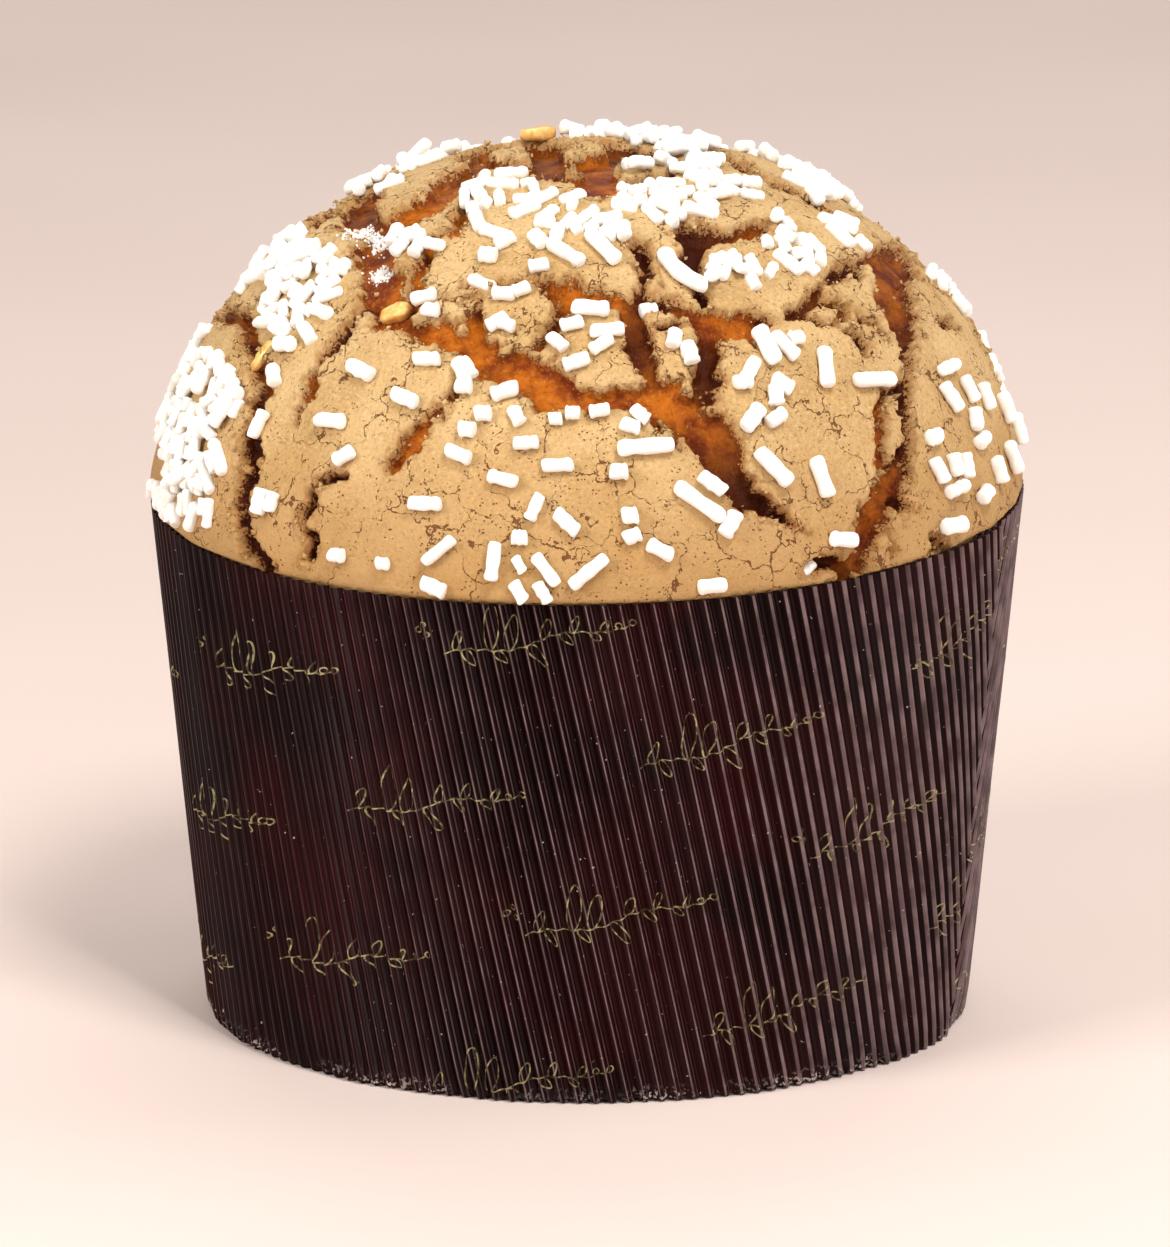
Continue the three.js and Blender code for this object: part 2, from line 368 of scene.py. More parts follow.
def print_ribbons(strokes, bearing, height):
    """Strokes as flat ribbons on the pleated wall, about a place given by bearing and height. What would run
    over the sheet's ends is left out."""
    share = height / rim_height(bearing)
    turn = math.radians((bearing - SEAM_BEARING + 180) * math.degrees(fan_turn) / 360)
    points, faces = [], []
    for stroke in strokes:
        steps = np.concatenate([[0], np.cumsum(np.linalg.norm(np.diff(stroke, axis=0), axis=1))])
        even = np.linspace(0, steps[-1], max(int(steps[-1] / RIBBON_STEP), 6))
        line = np.stack([np.interp(even, steps, stroke[:, k]) for k in (0, 1)], -1)
        ahead = np.gradient(line, axis=0)
        ahead /= np.linalg.norm(ahead, axis=1)[:, None] + 1e-9
        side = np.stack([-ahead[:, 1], ahead[:, 0]], -1) * PRINT_WIDTH / 2
        on_sheet = np.ones(len(line), bool)
        start = sum(len(p) for p in points)
        count = len(line)
        for edge in (side, -side):
            spot = line + edge
            along = spot[:, 0] * math.cos(SPRIG_TILT) - spot[:, 1] * math.sin(SPRIG_TILT)
            up = spot[:, 0] * math.sin(SPRIG_TILT) + spot[:, 1] * math.cos(SPRIG_TILT)
            out = fan_foot + share * wall_slant + up
            angle = turn + along / out
            on_sheet &= (angle > -fan_turn / 2 + 0.001) & (angle < fan_turn / 2 + (LAP - 1) / fan_rim)
            on_sheet &= (out > fan_foot + 1) & (out < fan_rim - 0.5)
            across = out * np.sin(angle)
            points.append(wrap(across, out, pleat(across, out) + PRINT_LIFT))
        for k in np.flatnonzero(on_sheet[:-1] & on_sheet[1:]):
            faces.append((start + k, start + k + 1, start + count + k + 1, start + count + k))
    return np.concatenate(points), np.array(faces, int).reshape(-1, 4)


def gold_print():
    """The sprigs' slanting rows over the whole sheet: each steps down to the right, and the next one starts
    further left and lower."""
    points, faces, total = [], [], 0
    for row in range(-3, 8):
        for sprig in range(-7, 7):
            bearing = FIRST_SPRIG[0] + ALONG_ROW[0] * sprig + NEXT_ROW[0] * row
            height = FIRST_SPRIG[1] + ALONG_ROW[1] * sprig + NEXT_ROW[1] * row
            if not (2 < height < 112 and SEAM_BEARING - 370 < bearing < SEAM_BEARING + 15):
                continue
            places = [(sprig_strokes(), bearing, height)]
            if sprig % 2 == 0:
                places.append((berry_strokes(), bearing - 16, height + 1))
            for strokes, at_bearing, at_height in places:
                spots, quads = print_ribbons(strokes, at_bearing, at_height)
                points.append(spots)
                faces.append(quads + total)
                total += len(spots)
    return np.concatenate(points), np.concatenate(faces)


printed = mesh_object("gold_print", *gold_print())
WORN_GOLD = (0.05, 0.035, 0.015, 1)
BRIGHT_GOLD = (0.36, 0.31, 0.15, 1)
gold = Nodes("gold_ink")
gold.set(Base_Color=gold.mix(gold.ramp(gold.noise(1.4, 2), 0.38, 0.62), WORN_GOLD, BRIGHT_GOLD))
gold.set(Metallic=0.5, Roughness=0.40)
printed.data.materials.append(gold.material)
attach(printed, "root")

# ---------------------------------------------------------------------------------------------------------
# Mould floor: a plain disc of brown paper board that lies on the hem. It shows only from below.
DARK_BOARD = (0.05, 0.022, 0.015, 1)
PALE_BOARD = (0.10, 0.05, 0.035, 1)
board = Nodes("mould_board")
board_fibre = board.noise(1.2, detail=5)
board.set(Base_Color=board.mix(board_fibre, DARK_BOARD, PALE_BOARD), Roughness=0.75)
board.set(Normal=board.bump(board_fibre, 0.08, 0.6))
floor_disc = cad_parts["mould_floor"]
floor_disc.data.materials.clear()
floor_disc.data.materials.append(board.material)

# ---------------------------------------------------------------------------------------------------------
# Loaf: one piece of baked dough under a skin of almond glaze. The dough rose after the glaze had set, so the
# glaze burst into plates, and the glossy crust shows between them.
DOME_RADIUS = 95.2
DOME_HEIGHT = 74.3
DOME_LEAN = 1.6
DOME_FLATNESS = 1.25
DOME_FULLNESS = 0.775
SKIRT = 9
UNDERSIDE = 2.1
PLATE_TOP = 0.3
BED_DEPTH = 2.6
CLEFT_DEPTH = 2.2
# How far the loaf keeps inside the pleats of a cone with a level rim, and how far its plates may bulge out
# over the rim. The real rim stands higher at the back, so the paper is narrower there than that cone, and
# the loaf comes through the pleats' valleys by up to 0.2 mm under the rim.
CLEARANCE = 0.1
OVERHANG = 3.2
RINGS = 172

# Each crack runs through points of bearing, climb, half-width and depth, where 0 is a shallow glossy bed and
# 1 is a deep cleft with painted shade in it.
CRACKS = [
    # the wide shallow band across the front, from the left shoulder down to the right
    [(-38, 45.5, 2.5, 0.2), (-32, 44.5, 2, 0.2), (-26, 44.6, 2.4, 0.1), (-20.5, 44, 4, 0.1),
     (-15.5, 41.2, 3.7, 0), (-11, 40, 4.2, 0), (-7, 37.2, 4, 0.05), (-2, 35.9, 2.7, 0.05),
     (3.5, 35, 2.2, 0.1), (7.5, 35.3, 2.6, 0.1), (11, 35.3, 4.8, 0.1), (13.8, 32, 5.6, 0.2),
     (16.6, 29.5, 5.3, 0.4), (18.6, 26, 4.9, 0.5), (19.4, 22.5, 4.9, 0.7), (21.3, 18.9, 3.3, 0.9),
     (23, 16.5, 2.2, 1), (25.5, 14.2, 1.2, 1), (27.5, 12, 0.7, 1), (29.5, 10.5, 0.3, 1)],
    # the band above it, round the top of the small plates
    [(-11.5, 54.6, 0.8, 0.6), (-7.7, 54.3, 1.9, 0.4), (-4.6, 52.9, 2.7, 0.2), (0.2, 52.3, 2.1, 0.1),
     (4.5, 51.5, 1.9, 0.2), (7.5, 50, 2.3, 0.5), (9.5, 52.2, 1, 0.7), (12.5, 51.2, 0.9, 0.8),
     (15.5, 49.2, 1.6, 0.4), (19, 47.6, 2.5, 0.2), (22, 46.2, 4, 0.1), (25.3, 46, 3.1, 0.1),
     (28.3, 46.2, 2.1, 0.2), (30.5, 46.6, 1, 0.6), (35, 46, 0.8, 0.6), (39, 47, 0.8, 0.5),
     (43, 48.6, 0.9, 0.5), (50, 51, 1, 0.6), (56, 52.4, 1.4, 0.8), (60, 52.3, 2.4, 0.9)],
    # between the small plates
    [(-4.8, 52.5, 1.2, 0.4), (-6.2, 49, 1, 0.6), (-8, 46, 0.9, 0.6), (-9.7, 43, 1.4, 0.2)],
    [(-22, 51.8, 0.6, 0.6), (-21.8, 48.5, 1.1, 0.3), (-21.3, 45.5, 1.8, 0.1)],
    [(-34, 51.5, 0.3, 0.8), (-30, 51.8, 0.5, 0.8), (-26, 51.5, 0.5, 0.8), (-23, 51.8, 0.6, 0.6)],
    [(-26, 53.8, 0.35, 0.8), (-21.5, 54.5, 0.5, 0.8), (-16.5, 54, 0.4, 0.8), (-12, 54.5, 0.6, 0.8)],
    [(6.8, 51, 2, 0.4), (7.8, 47.8, 2.5, 0.7), (7.8, 43.8, 2.4, 0.7), (8.5, 40.3, 2.1, 0.5),
     (9.8, 37.5, 2.8, 0.2)],
    [(8.5, 47.8, 1.2, 0.8), (11, 46.9, 0.9, 0.8), (14, 47.3, 1, 0.5), (16.5, 47.8, 1.4, 0.3)],
    [(20.5, 46.5, 2.4, 0.3), (19.8, 43.5, 2.2, 0.6), (18.8, 39.5, 1.8, 0.9), (17.3, 36.5, 2.2, 0.6),
     (15.5, 34.5, 3, 0.3)],
    # up to the crown and round it
    [(9.3, 52, 1.4, 0.5), (10.5, 55, 1.5, 0.8), (11, 58.5, 1.5, 0.9), (11, 62, 1.2, 0.9)],
    [(19.5, 51, 1.8, 0.9), (20.5, 55, 1.8, 1), (21.5, 59, 2.6, 1), (24, 63, 4, 1), (28, 63.5, 3.5, 0.8),
     (34, 63, 2.2, 0.6), (41, 63.3, 1.8, 0.3), (47, 63, 1, 0.3)],
    [(-115, 79, 4, 0.5), (-145, 83, 4.5, 0.5), (170, 86, 4.5, 0.6), (0, 88, 5, 0.3), (0, 81, 4.5, 0.1),
     (-1, 75, 3, 0.2)],
    [(-60, 82.5, 3.4, 0.6), (-25, 80.5, 3, 0.5), (-4, 79.5, 4, 0.1), (3, 76, 3, 0.3),
     (12, 78, 2.4, 0.4), (30, 80, 1.6, 0.6), (70, 82, 2.6, 0.8), (105, 78, 3, 1)],
    [(105, 78, 2.8, 1), (80, 74, 2.8, 0.9), (74, 70, 3, 0.9), (76, 66, 2.6, 0.8), (77, 63, 1, 0.5)],
    # the wide split down the right shoulder to the rim, with a branch at its left
    [(90, 49.5, 1.5, 0.5), (80, 50, 5.4, 0.4), (70, 50.5, 6.4, 0.4), (67, 47, 5.6, 0.4),
     (63, 44, 5.4, 0.5), (60.5, 41, 3.8, 0.6), (59.3, 38.8, 2.3, 0.7), (56.3, 35.5, 1, 1),
     (54.5, 32.2, 0.9, 1), (51, 29, 1.2, 0.9), (50, 25, 0.8, 0.9), (49, 22, 1.4, 0.8),
     (46.8, 19.5, 2.2, 0.5), (44.5, 16.7, 2.8, 0.45), (41.8, 14, 3, 0.4), (39.5, 10, 3, 0.4),
     (38.3, 6.8, 2.8, 0.45), (37, 2.6, 3.1, 0.5), (35.4, -0.5, 3, 0.5), (34.5, -6, 3, 0.5)],
    [(54.5, 32.2, 0.9, 1), (48, 32.3, 1, 0.3), (46, 28.8, 1.1, 0.2), (44.8, 25.3, 1.2, 0.2),
     (42.9, 21.9, 1.1, 0.2), (41.3, 19.8, 1, 0.3)],
    # pits and short tears beside it
    [(29.5, 1.5, 1.3, 1), (31.5, 2.8, 1.5, 1), (33.5, 1, 1.8, 0.8)],
    [(43, 13.5, 0.8, 1), (44.5, 12.7, 1.5, 1), (46, 11, 1, 1), (48, 10.3, 0.3, 1)],
    [(42.2, 8.5, 0.3, 1), (42.5, 5, 0.45, 1), (42.6, 2, 0.3, 1)],
    [(50, -0.5, 1.4, 0.9), (52.5, 1, 1.6, 0.9), (54.5, -0.5, 1, 0.9)],
    [(43, 48.5, 0.9, 0.5), (46, 47.2, 1.4, 0.6), (49, 46, 1, 0.5), (47, 44.5, 0.9, 0.5)],
    [(51, 44, 0.9, 0.7), (53.5, 42.5, 1.2, 0.8), (55, 40, 0.8, 0.8)],
    [(46.5, 42, 0.7, 0.9), (48, 40.5, 0.9, 0.9), (47, 39, 0.4, 0.9)],
    [(40, 45.5, 0.5, 0.8), (42, 44.5, 0.8, 0.9), (44.5, 44, 0.5, 0.8)],
    [(73, 39, 1, 0.6), (76, 37.5, 1.3, 0.7), (78, 35, 0.8, 0.6)],
    [(84, 47, 0.8, 0.8), (86, 42, 0.9, 0.8), (87, 36, 0.6, 0.8), (88, 30, 0.5, 0.8)],
    # the deep split down the left shoulder to the rim
    [(-92, 35, 1.5, 0.3), (-84, 37.5, 1.6, 0.3), (-76, 39.5, 1.8, 0.4), (-68, 37.2, 1.6, 0.5),
     (-61.8, 35, 1.8, 0.5), (-58, 32.6, 1.9, 0.3), (-54.8, 30, 2.1, 0.5), (-55, 26.2, 2, 0.9),
     (-55.2, 23.2, 2.2, 1), (-52.3, 20, 3.6, 0.8), (-50.5, 17.8, 2.8, 0.8), (-51, 14.5, 1.9, 1),
     (-51, 11.5, 2, 1), (-50.3, 6.5, 2.3, 1), (-49, 2.3, 2.6, 1), (-46.5, -3, 2.5, 1),
     (-46, -6, 2.5, 1)],
    # the left shoulder's inner crack and the grooves on the front
    [(-41, 50, 2, 0.6), (-43.5, 46.6, 1.7, 0.9), (-45, 43, 1.4, 0.8), (-45.8, 39.5, 1.6, 0.5),
     (-46.2, 36.4, 1.7, 0.3), (-46, 33, 1.5, 0.3), (-46, 29.3, 1, 0.3), (-45.5, 26.8, 0.3, 0.4)],
    [(-20.5, 35.5, 0.6, 0.1), (-22, 33, 1, 0.1), (-23.5, 30.5, 1.2, 0.1), (-25.5, 27, 1.1, 0.1),
     (-27.2, 23.5, 0.8, 0.1), (-28, 21.5, 0.3, 0.2)],
    [(-34.5, 19, 0.3, 1), (-37, 19.2, 0.5, 1), (-39.5, 17.3, 0.8, 1), (-38, 15, 0.8, 1),
     (-39.3, 11.8, 0.8, 1), (-39.2, 9.5, 0.5, 1), (-37, 7.5, 0.8, 1), (-38.2, 3.8, 0.6, 1),
     (-39.5, 2, 0.3, 1)],
    # the wide bands from the crown down to the left shoulder
    [(-75, 80.5, 4.5, 0.5), (-62, 74, 5.2, 0.3), (-53, 68.5, 5.5, 0.2), (-56, 60, 4.8, 0.4),
     (-49, 54.5, 4.2, 0.3), (-44, 52, 4.6, 0.2), (-40, 49, 4.2, 0.2), (-37, 46.5, 3.2, 0.2)],
    [(-38, 68, 2, 0.2), (-36.5, 64.5, 1.9, 0.2), (-38, 60, 1.9, 0.2), (-37, 56, 1.8, 0.2),
     (-35.5, 52.5, 1.7, 0.2), (-35, 49.5, 1.9, 0.2), (-36, 46.5, 2.5, 0.2)],
    [(-56, 60, 3.4, 0.3), (-70, 61.5, 4.6, 0.4), (-84, 64, 4.6, 0.5), (-98, 66, 4, 0.4)],
    [(-110, 57, 4, 0.4), (-98, 57, 4.4, 0.4), (-85, 57.5, 3.4, 0.5)],
    # the back: a band round it, splits down to the rim and two up to the crown
    [(84, 50.5, 1.0, 0.6), (95, 47.5, 2.4, 0.3), (118, 50.5, 3.8, 0.2), (140, 46, 3.2, 0.1),
     (160, 49.5, 4.2, 0.2), (184, 46.5, 3.0, 0.1), (205, 43, 3.8, 0.2), (230, 46, 2.8, 0.4),
     (252, 43.5, 3.4, 0.3), (268, 36, 2.0, 0.5)],
    [(118, 50, 2.4, 0.5), (113, 38, 2.2, 0.7), (116, 26, 1.6, 0.9), (110, 12, 2.4, 0.5),
     (108, -6, 2.6, 0.6)],
    [(160, 50, 2.8, 0.3), (165, 38, 2.4, 0.6), (158, 27, 1.5, 0.8), (163, 14, 2.4, 0.4),
     (160, -6, 2.2, 0.6)],
    [(205, 43, 3.0, 0.2), (212, 30, 1.8, 0.6), (207, 18, 2.6, 0.4), (211, 5, 1.8, 0.9),
     (210, -6, 2.0, 0.9)],
    [(252, 43, 2.4, 0.4), (249, 30, 1.8, 0.8), (254, 18, 1.2, 1), (250, 7, 0.5, 1)],
    [(118, 50, 2.6, 0.4), (126, 60, 3.0, 0.4), (140, 68, 3.4, 0.3), (178, 72, 3.0, 0.4),
     (225, 77, 3.2, 0.3), (285, 80.5, 3.2, 0.5)],
    [(184, 47, 2.0, 0.5), (190, 58, 1.6, 0.7), (196, 66, 2.2, 0.5), (190, 72, 2.4, 0.3)],
    [(230, 46, 2.0, 0.5), (242, 55, 2.6, 0.5), (242, 64, 2.2, 0.6)],
    [(83, 18, 0.4, 1), (86, 24, 1.0, 0.8), (92, 29, 1.4, 0.6), (98, 36, 1.2, 0.8), (97, 47, 1.6, 0.5)],
    [(136, 46, 1.6, 0.5), (138, 34, 1.0, 0.9), (134, 24, 0.5, 1)],
    [(184, 46, 1.6, 0.6), (186, 33, 1.2, 0.8), (182, 21, 0.5, 1)],
    [(230, 46, 1.8, 0.5), (233, 33, 1.0, 0.8), (229, 24, 0.4, 1)],
]


def on_dome(bearing, climb):
    """The smooth surface by bearing and climb: 0 at the rim's mean height, 90 at the crown, and below 0
    millimetres down inside the mould."""
    turn = np.radians(bearing)
    rise = np.radians(np.clip(climb, 0, 90))
    below = np.minimum(climb, 0)
    radius = DOME_RADIUS * np.cos(rise) ** DOME_FULLNESS + below * (rim_radius - foot_radius) / RIM_HEIGHT
    height = RIM_HEIGHT + DOME_HEIGHT * np.sin(rise) ** DOME_FLATNESS + below
    lean = DOME_LEAN * np.maximum(height - RIM_HEIGHT, 0) / DOME_HEIGHT
    return np.stack([radius * np.sin(turn) + lean, -radius * np.cos(turn), height], -1)


def dome_normal(bearing, climb):
    """The direction straight out of the smooth dome, without its lean."""
    turn = np.radians(bearing)
    rise = np.radians(np.clip(climb, 0, 90))
    outward = DOME_FLATNESS * DOME_HEIGHT * np.cos(rise) ** (2 - DOME_FULLNESS)
    upward = DOME_FULLNESS * DOME_RADIUS * np.sin(rise) ** (2 - DOME_FLATNESS)
    size = np.hypot(outward, upward)
    outward, upward = outward / size, upward / size
    return np.stack([outward * np.sin(turn), -outward * np.cos(turn), upward], -1)


def crack_segments():
    """The cracks as short straight segments on the dome: ends, half-widths and depths."""
    starts, ends, widths, depths = [], [], [], []
    for crack in CRACKS:
        places = np.array(crack)
        steps = np.linspace(0, len(places) - 1, 3 * (len(places) - 1) + 1)
        dense = np.stack([np.interp(steps, range(len(places)), places[:, k]) for k in range(4)], -1)
        points = on_dome(dense[:, 0], dense[:, 1])
        starts.append(points[:-1])
        ends.append(points[1:])
        widths.append(np.stack([dense[:-1, 2], dense[1:, 2]], -1))
        depths.append(np.stack([dense[:-1, 3], dense[1:, 3]], -1))
    return [np.concatenate(part) for part in (starts, ends, widths, depths)]


crack_starts, crack_ends, crack_widths, crack_depths = crack_segments()


def to_cracks(points):
    """How far each point lies outside the nearest crack, negative inside it, and that crack's half-width and
    depth there."""
    distance = np.empty(len(points))
    width = np.empty(len(points))
    depth = np.empty(len(points))
    along = crack_ends - crack_starts
    lengths = (along**2).sum(-1)
    batch = 4000
    for first in range(0, len(points), batch):
        block = points[first : first + batch]
        share = np.clip(((block[:, None] - crack_starts) * along).sum(-1) / lengths, 0, 1)
        nearest = crack_starts + share[..., None] * along
        apart = np.linalg.norm(block[:, None] - nearest, axis=-1)
        apart -= crack_widths[:, 0] + share * (crack_widths[:, 1] - crack_widths[:, 0])
        pick = apart.argmin(1)
        row = np.arange(len(block))
        distance[first : first + batch] = apart[row, pick]
        at = share[row, pick]
        width[first : first + batch] = crack_widths[pick, 0] * (1 - at) + crack_widths[pick, 1] * at
        depth[first : first + batch] = crack_depths[pick, 0] * (1 - at) + crack_depths[pick, 1] * at
    return distance, width, depth


def smooth_step(value, low, high):
    """0 up to low and 1 from high on, with a smooth rise between them."""
    share = np.clip((value - low) / (high - low), 0, 1)
    return share * share * (3 - 2 * share)


def relief(points):
    """The glaze's relief over the smooth dome: its height, how far each point lies in from its plate's
    ragged edge, and the crack's depth."""
    drift = np.stack([wander(points, 11, 3.1), wander(points, 11, 17.7), wander(points, 11, 31.9)], -1)
    distance, width, depth = to_cracks(points + 1.8 * drift)
    # the plates' ragged edges, from bays down to crumbs
    ragged = 1.6 * wander(points, 5.2, 5.5) + 1.9 * wander(points, 2.6, 9.1) + 1.3 * wander(points, 1.3, 2.2)
    edge = distance - 0.25 + ragged * np.clip(0.25 + 0.35 * width, 0, 1)
    # the plates' tops, uneven and crumbly towards their edges
    fade = np.clip(1 - edge / 2.6, 0, 1)
    crumbs = 0.95 * wander(points, 1.9, 6.6) + 0.6 * wander(points, 1.05, 8.8)
    plate = PLATE_TOP + 0.45 * wander(points, 14, 4.4) + 0.12 * wander(points, 2.6, 1.3)
    plate = plate + fade * (crumbs + 0.25)
    # the crust in the cracks, deeper in a cleft
    bed = -BED_DEPTH + 0.5 * wander(points, 6, 12.1) + 0.15 * wander(points, 1.8, 14.1)
    bed = bed - CLEFT_DEPTH * depth * smooth_step(-edge, -0.3, 1.6)
    return bed + (plate - bed) * smooth_step(edge, -0.6, 0.7), edge, depth


def swell(points):
    """The dough's own lumps under the glaze."""
    return 1.1 * wander(points, 46, 0.7) + 0.5 * wander(points, 20, 8.3)


def loaf_mesh():
    """Rings of six more points each from the crown down to the skirt inside the mould, then the hidden side
    and underside. Returns points, faces, and the edge distance and depth at each point."""
    fine = np.concatenate([np.linspace(90, 0, 1800), np.linspace(-0.05, -SKIRT, 60)])
    outline = on_dome(90, fine)[:, [0, 2]]
    lengths = np.concatenate([[0], np.cumsum(np.linalg.norm(np.diff(outline, axis=0), axis=1))])
    climbs = np.interp(np.linspace(0, lengths[-1], RINGS + 1), lengths, fine)
    bearings = [np.zeros(1)]
    ring_climbs = [np.full(1, 90.0)]
    for ring in range(1, RINGS + 1):
        bearings.append(np.arange(6 * ring) * 60.0 / ring)
        ring_climbs.append(np.full(6 * ring, climbs[ring]))
    bearing = np.concatenate(bearings)
    climb = np.concatenate(ring_climbs)
    base = on_dome(bearing, climb)
    height, edge, depth = relief(base)
    height = height + swell(base)
    height = height * smooth_step(base[:, 2], RIM_HEIGHT - SKIRT, RIM_HEIGHT - 3)
    points = base + dome_normal(bearing, climb) * height[:, None]
    reach = np.hypot(points[:, 0], points[:, 1])
    inside = foot_radius + (rim_radius - foot_radius) * points[:, 2] / RIM_HEIGHT
    inside = inside - PLEAT_DEPTH - PAPER - CLEARANCE
    over_rim = points[:, 2] - rim_height(bearing)
    limit = inside + OVERHANG * smooth_step(over_rim, -0.2, 1.4)
    fuller = np.where(over_rim > -2, 1, 0) * np.clip(1 - over_rim / 9, 0, 1) * (edge > 0)
    wanted = reach + fuller * np.clip(rim_radius - 0.2 - reach, 0, 2)
    shrink = np.where(over_rim < 12, np.minimum(wanted, limit), reach) / np.maximum(reach, 1)
    points[:, :2] *= shrink[:, None]
    firsts = [0] + [1 + 3 * ring * (ring - 1) for ring in range(1, RINGS + 2)]
    faces = []
    for ring in range(RINGS):
        inner, outer = firsts[ring], firsts[ring + 1]
        inner_count, outer_count = max(6 * ring, 1), 6 * (ring + 1)
        for side in range(6):
            for step in range(ring + 1):
                a = inner + (side * ring + step) % inner_count
                b = outer + (side * (ring + 1) + step) % outer_count
                c = outer + (side * (ring + 1) + step + 1) % outer_count
                faces.append((a, b, c))
                if step < ring:
                    faces.append((a, c, inner + (side * ring + step + 1) % inner_count))
    count = 6 * RINGS
    last = firsts[RINGS]
    rows = [points]
    for level in (60, UNDERSIDE):
        turn = np.radians(bearings[RINGS])
        radius = foot_radius + (rim_radius - foot_radius) * level / RIM_HEIGHT - PLEAT_DEPTH - 0.6
        rows.append(np.stack([radius * np.sin(turn), -radius * np.cos(turn), np.full(count, level)], -1))
    rows.append(np.array([[0, 0, UNDERSIDE]]))
    for level in range(2):
        here = last + level * count
        for step in range(count):
            after = (step + 1) % count
            faces.append((here + step, here + count + step, here + count + after, here + after))
    foot = last + 2 * count
    faces += [(foot + step, foot + count, foot + (step + 1) % count) for step in range(count)]
    hidden = np.zeros(2 * count + 1)
    return np.concatenate(rows), faces, np.concatenate([edge, hidden + 5]), np.concatenate([depth, hidden])


loaf_points, loaf_faces, loaf_edge, loaf_depth = loaf_mesh()
loaf = mesh_object("glazed_loaf", loaf_points, loaf_faces)
store(loaf, "edge", loaf_edge)
store(loaf, "depth", loaf_depth)


TAN = (0.50, 0.31, 0.125, 1)
PALE_TAN = (0.60, 0.405, 0.19, 1)
ALMOND_MEAL = (0.76, 0.55, 0.28, 1)
BROWN_MEAL = (0.30, 0.145, 0.045, 1)
LOWER_DOME_TONE = (0.41, 0.22, 0.075, 1)
TOASTED_EDGE = (0.33, 0.125, 0.028, 1)
PORE = (0.13, 0.036, 0.008, 1)
DEEP_AMBER = (0.15, 0.020, 0.001, 1)
AMBER = (0.43, 0.110, 0.004, 1)
PALE_FIBRE = (0.60, 0.22, 0.025, 1)
DARK_FIBRE = (0.10, 0.014, 0.001, 1)
PAINTED_UNDER_EDGE_SHADE = (0.10, 0.017, 0.002, 1)
PAINTED_CLEFT_SHADE = (0.040, 0.0045, 0.001, 1)


